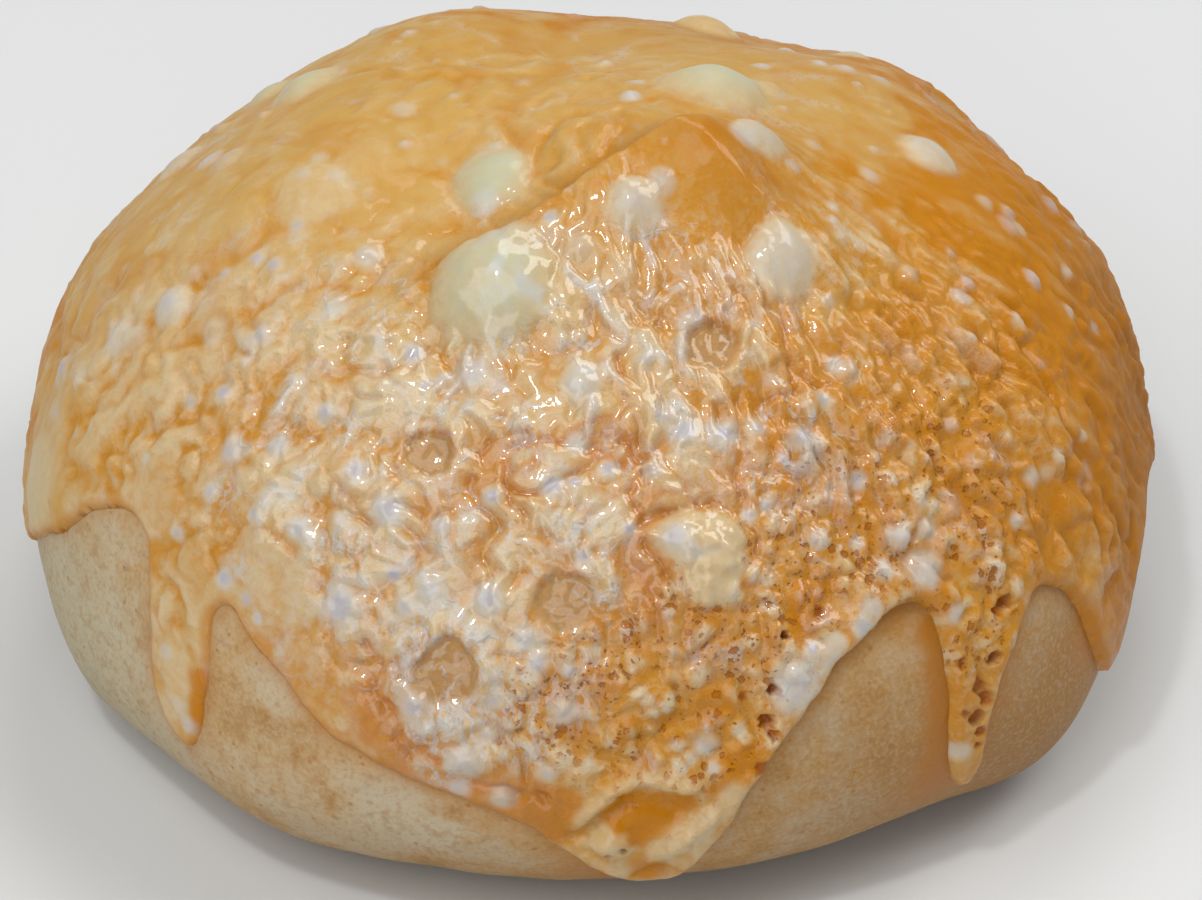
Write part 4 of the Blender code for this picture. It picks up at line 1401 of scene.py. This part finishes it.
    def add_spots(self) -> None:
        """Raise the small bubbles that show as pale spots, some with a dark middle."""
        side, side_share = 60, 0.65
        wander = 1 + 0.12 * self.waves(27, 1.5)
        fleck = 0.9 + 0.12 * self.waves(28, 0.7)
        for spot in self.spots:
            away = self.away(spot) * wander
            soft = ease(1.5, 0.45, away)
            white = spot.white * (side_share if abs(spot.bearing) > side else 1)
            self.relief += 0.25 * spot.radius * np.clip(1 - away * away, 0, 1)
            self.layers.lay("white", 0.66 * white * soft * fleck)
            self.layers.lay("lilac", min(1.3 * spot.middle, 1) * ease(0.7, 0.3, away))
            self.layers.lay("cream", 0.7 * white * ease(1.9, 0.9, away))
            self.layers.fade(("valley", "red", "amber", "toast", "pores", "rough", "veil"), 0.8 * soft)

    def add_blisters(self) -> None:
        """Raise the blisters, and lay their colours."""
        wander = 1 + 0.12 * self.waves(15, 2.5)
        mottle = 0.85 + 0.25 * self.waves(24, 1.6)
        for tint, group in self.blisters:
            flattened = 0.3 if tint is Tint.CREAM else 0.85
            for blister in group:
                away = self.away(blister) * wander
                self.relief *= 1 - flattened * ease(1.1, 0.7, away)
                self.relief += blister.height * np.clip(1 - (away / 1.1) ** 2, 0, 1) ** 1.15
                self.layers.lay("cream", 0.6 * ease(1.5, 1.0, away))
                self.layers.lay(tint.value, np.minimum(blister.strength * mottle * ease(1.3, 0.3, away), 1))
                self.layers.lay("lilac", blister.dark_middle * ease(0.45, 0.15, away))
                self.layers.fade(("valley", "red", "amber", "toast", "pores", "film"), ease(1.15, 0.85, away))
                self.layers.fade(("rough", "veil"), 0.75 * ease(1.15, 0.7, away))

    def add_folds(self) -> None:
        """Raise the slice's folds, with painted shadow down their steep sides."""
        for fold in self.folds:
            knots = rounded(np.array(fold.knots))
            away, along, off = path_gap(self.skin.points, self.form.place(knots[:, 0], knots[:, 1]))
            rise = np.interp(along, np.arange(len(knots)), knots[:, 2])
            left = (off * self.skin.outward).sum(axis=1) > 0
            share = np.exp(-(away / np.where(left, fold.gentle, fold.steep)) ** 1.5)
            # Painted shadow: the toast colour laid down each fold's steep side, where its shade falls.
            shade = np.where(left, 0, bell(away - fold.steep, fold.steep)) * np.clip(rise, 0, 2.0)
            top = fold.cream * ease(0.15, 0.7, share) * ease(0, 0.5, rise)
            self.relief += rise * share
            self.layers["toast"] = np.clip(self.layers["toast"] + fold.brown * shade, 0, 1)
            self.layers.fade(("pool", "amber", "toast", "valley"), top)
            self.layers.lay("cream", top)

    def add_craters(self) -> None:
        """Sink the craters inside their rings, colour their floors as browned crumb, and paint shadow along
        their upper rims and highlight round them.
        """
        rough, wander = self.waves(12, 0.9), self.waves(16, 2.0)
        for crater in self.craters:
            away = self.away(crater) + 0.18 * wander + 0.10 * rough
            floor = ease(1.1, 0.8, away)
            upper = ease(-1.0, 0.6, (crater.reach - self.skin.reach) / crater.radius)
            # rim: painted shadow, a dark line along each crater's upper inner rim
            rim = bell(away - 0.95, 0.14) * (0.1 + 0.9 * upper) * ease(-0.5, 0.1, rough)
            sunk = floor * (0.4 + 0.5 * upper - 0.2 * rough)
            self.relief *= 1 - 0.6 * floor
            self.relief += crater.depth * (0.25 * bell(away - 1.25, 0.3) - sunk)
            self.layers.fade(("amber", "valley", "red", "white", "toast", "cream", "pores", "veil"), floor)
            self.layers.lay("red", 0.9 * rim)
            self.layers.lay("toast", 0.6 * rim)
            self.layers.lay("floor", 0.9 * floor * (1 - rim))
            # painted highlight: a pale ring round each crater
            self.layers.lay("veil", 0.5 * bell(away - 1.45, 0.3) * ease(-0.2, 0.3, wander))

    def add_pits(self) -> None:
        """Tear ragged pits down to the roll's stained skin."""
        ragged = 0.45 * self.waves(17, 1.1)
        for pit in self.pits:
            hole = ease(1.15, 0.8, self.away(pit) + ragged)
            self.relief -= self.pit_depth * hole
            self.layers.lay("pit", hole)
            self.layers.fade(("veil",), hole)

    def edged(self, inside: Array) -> Array:
        """Round the slice off along its edge.

        Args:
            inside: How far each corner lies inside the slice's edge, in mm.

        Returns:
            How far the top stands out from the roll's skin, in mm.
        """
        layers = self.layers
        bearings, heights = np.array(self.rims, float).T
        rim = np.interp(self.skin.bearing, bearings, heights)
        plump = bell(inside - 1.3, 1.1) * ease(0, 0.5, inside)
        layers["cream"] = np.clip(layers["cream"] + 0.6 * plump * ease(1.0, 2.0, rim), 0, 1)
        layers["amber"] = np.clip(layers["amber"] + 0.7 * ease(1.2, 0.2, inside) * ease(1.4, 0.8, rim), 0, 1)
        thickness = rim + (self.thickness - rim) * ease(0, self.rim_width, inside)
        rounding = np.sqrt(1 - (1 - np.clip(inside / self.rim_round, 0, 1)) ** 2)
        top = np.maximum(thickness + self.relief * ease(0.2, 3.0, inside), self.least)
        dive = -self.tuck * np.clip(-inside / 0.5, 0, 1)
        return np.where(inside > 0, rounding * top, dive)

    def build(self, core: bpy.types.Object) -> bpy.types.Object:
        """Model and dress the slice.

        Args:
            core: The form that its underside is cut to.

        Returns:
            The finished piece.
        """
        crust = ball("melted_slice", self.level, self.cuts)
        skin = skin_of(self.form, gather(corners(crust), *self.finest, self.pull))
        inside, near = self.edge.inside(skin.points, skin.outward)
        snap = np.abs(inside) < self.snap_share * self.spacing(crust, skin.points)
        skin.points = np.where(snap[:, None], near, skin.points)
        self.skin = skin
        lift = self.form.lift(skin.points, skin.reach) + self.shape(np.where(snap, 0, inside))
        places = ((skin.points + skin.outward * lift[:, None]) * MM).astype(np.float32)
        set_corners(crust, places)
        crust.data.materials.append(self.finish.material())
        self.cut_to(crust, core)
        tree = near_tree(places.astype(float))
        self.layers.store(crust, np.array([tree.find(place)[1] for place in corners(crust)]))
        crust.data.shade_smooth()
        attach(crust, "root")
        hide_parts("cheese_crust")
        return crust

    def spacing(self, crust: bpy.types.Object, points: Array) -> Array:
        """Measure the mesh edges at each corner.

        Args:
            crust: The slice.
            points: Its corners on the plain roll, in mm.

        Returns:
            Their mean length at each corner, in mm.
        """
        ends = np.empty(len(crust.data.edges) * 2, np.int32)
        crust.data.edges.foreach_get("vertices", ends)
        starts, stops = points[ends[::2]], points[ends[1::2]]
        total = np.bincount(ends, np.repeat(np.linalg.norm(starts - stops, axis=1), 2), len(points))
        return total / np.bincount(ends, minlength=len(points))

    def cut_to(self, crust: bpy.types.Object, core: bpy.types.Object) -> None:
        """Cut the slice's underside to the core, and delete the core.

        Args:
            crust: The slice.
            core: The form that it is to lie on.
        """
        deselect()
        bpy.context.view_layer.objects.active = crust
        crust.select_set(True)
        cut = crust.modifiers.new("underside", "BOOLEAN")
        cut.operation = "DIFFERENCE"
        cut.solver = "MANIFOLD"
        cut.object = core
        bpy.ops.object.modifier_apply(modifier=cut.name)
        bpy.data.objects.remove(core)


@dataclass(frozen=True)
class Lamp:
    """A soft square light: its place and side in metres, its power in watts and its colour."""

    name: str
    place: tuple[float, float, float]
    size: float
    power: float
    colour: Colour


@dataclass
class Studio:
    """Camera, floor and soft lights."""

    elevation: float = 37.0
    distance: float = 0.394
    aim: tuple[float, float, float] = (0.93 * MM, 0.0, 16.0 * MM)
    lens: float = 129.66
    clip_start: float = 0.01
    floor_size: float = 6.0
    floor_colour: Colour = (0.58, 0.58, 0.57)
    floor_roughness: float = 0.9
    world_colour: Colour = (0.95, 0.97, 1.0)
    world_strength: float = 0.24
    lamps: tuple[Lamp, ...] = rows(
        Lamp,
        ("key", (-0.38, -0.38, 0.78), 0.90, 5.2, (1.0, 0.99, 0.98)),
        ("spark", (-0.20, -0.30, 0.85), 0.07, 1.6, (0.95, 0.97, 1.0)),
        ("window", (0.1, 0.45, 0.7), 0.35, 1.7, (0.92, 0.96, 1.0)),
        ("front", (-0.15, -0.9, 0.30), 0.5, 1.9, (1.0, 0.99, 0.98)),
        ("side", (0.535, 0.13, 0.79), 0.5, 4.3, (1.0, 1.0, 1.0)),
    )

    def build(self) -> None:
        """Set up the whole studio."""
        self.camera()
        self.floor()
        for lamp in self.lamps:
            self.light(lamp)
        self.world()

    def camera(self) -> None:
        """Place the camera at the photograph's angle."""
        angle = math.radians(self.elevation)
        back = Vector((0, -math.cos(angle), math.sin(angle)))
        data = bpy.data.cameras.new("camera")
        data.lens = self.lens
        data.clip_start = self.clip_start
        camera = bpy.data.objects.new("camera", data)
        camera.location = Vector(self.aim) + back * self.distance
        camera.rotation_euler = back.to_track_quat("Z", "Y").to_euler()
        bpy.context.scene.collection.objects.link(camera)
        bpy.context.scene.camera = camera

    def floor(self) -> None:
        """Lay a plain pale floor just under the roll."""
        deselect()
        bpy.ops.mesh.primitive_plane_add(size=self.floor_size)
        floor = bpy.context.object
        floor.name = "floor"
        paint = Paint("plain_floor")
        paint.set(Base_Color=self.floor_colour, Roughness=self.floor_roughness)
        floor.data.materials.append(paint.material)

    def light(self, lamp: Lamp) -> None:
        """Hang a soft square light that faces the roll.

        Args:
            lamp: What the light is like.
        """
        data = bpy.data.lights.new(lamp.name, "AREA")
        data.size = lamp.size
        data.energy = lamp.power
        data.color = lamp.colour
        hung = bpy.data.objects.new(lamp.name, data)
        hung.location = lamp.place
        hung.rotation_euler = (Vector(lamp.place) - Vector(self.aim)).to_track_quat("Z", "Y").to_euler()
        bpy.context.scene.collection.objects.link(hung)

    def world(self) -> None:
        """Surround the roll with even pale light."""
        world = bpy.data.worlds.new("surround")
        world.use_nodes = True
        background = world.node_tree.nodes["Background"]
        background.inputs["Color"].default_value = (*self.world_colour, 1)
        background.inputs["Strength"].default_value = self.world_strength
        bpy.context.scene.world = world


def main() -> None:
    """Build the roll, its slice of cheese and the studio, and report each piece."""
    logging.basicConfig(level=logging.INFO, format="%(message)s")
    form = Form()
    edge = Edge(form)
    bread = BreadRoll(form, edge)
    roll = bread.build()
    slice_of_cheese = CheeseCrust(form, edge).build(bread.core())
    for piece in (roll, slice_of_cheese):
        logging.info("%s: %d faces", piece.name, len(piece.data.polygons))
    Studio().build()
    bpy.context.scene.view_settings.view_transform = "Standard"


if __name__ == "__main__":
    main()
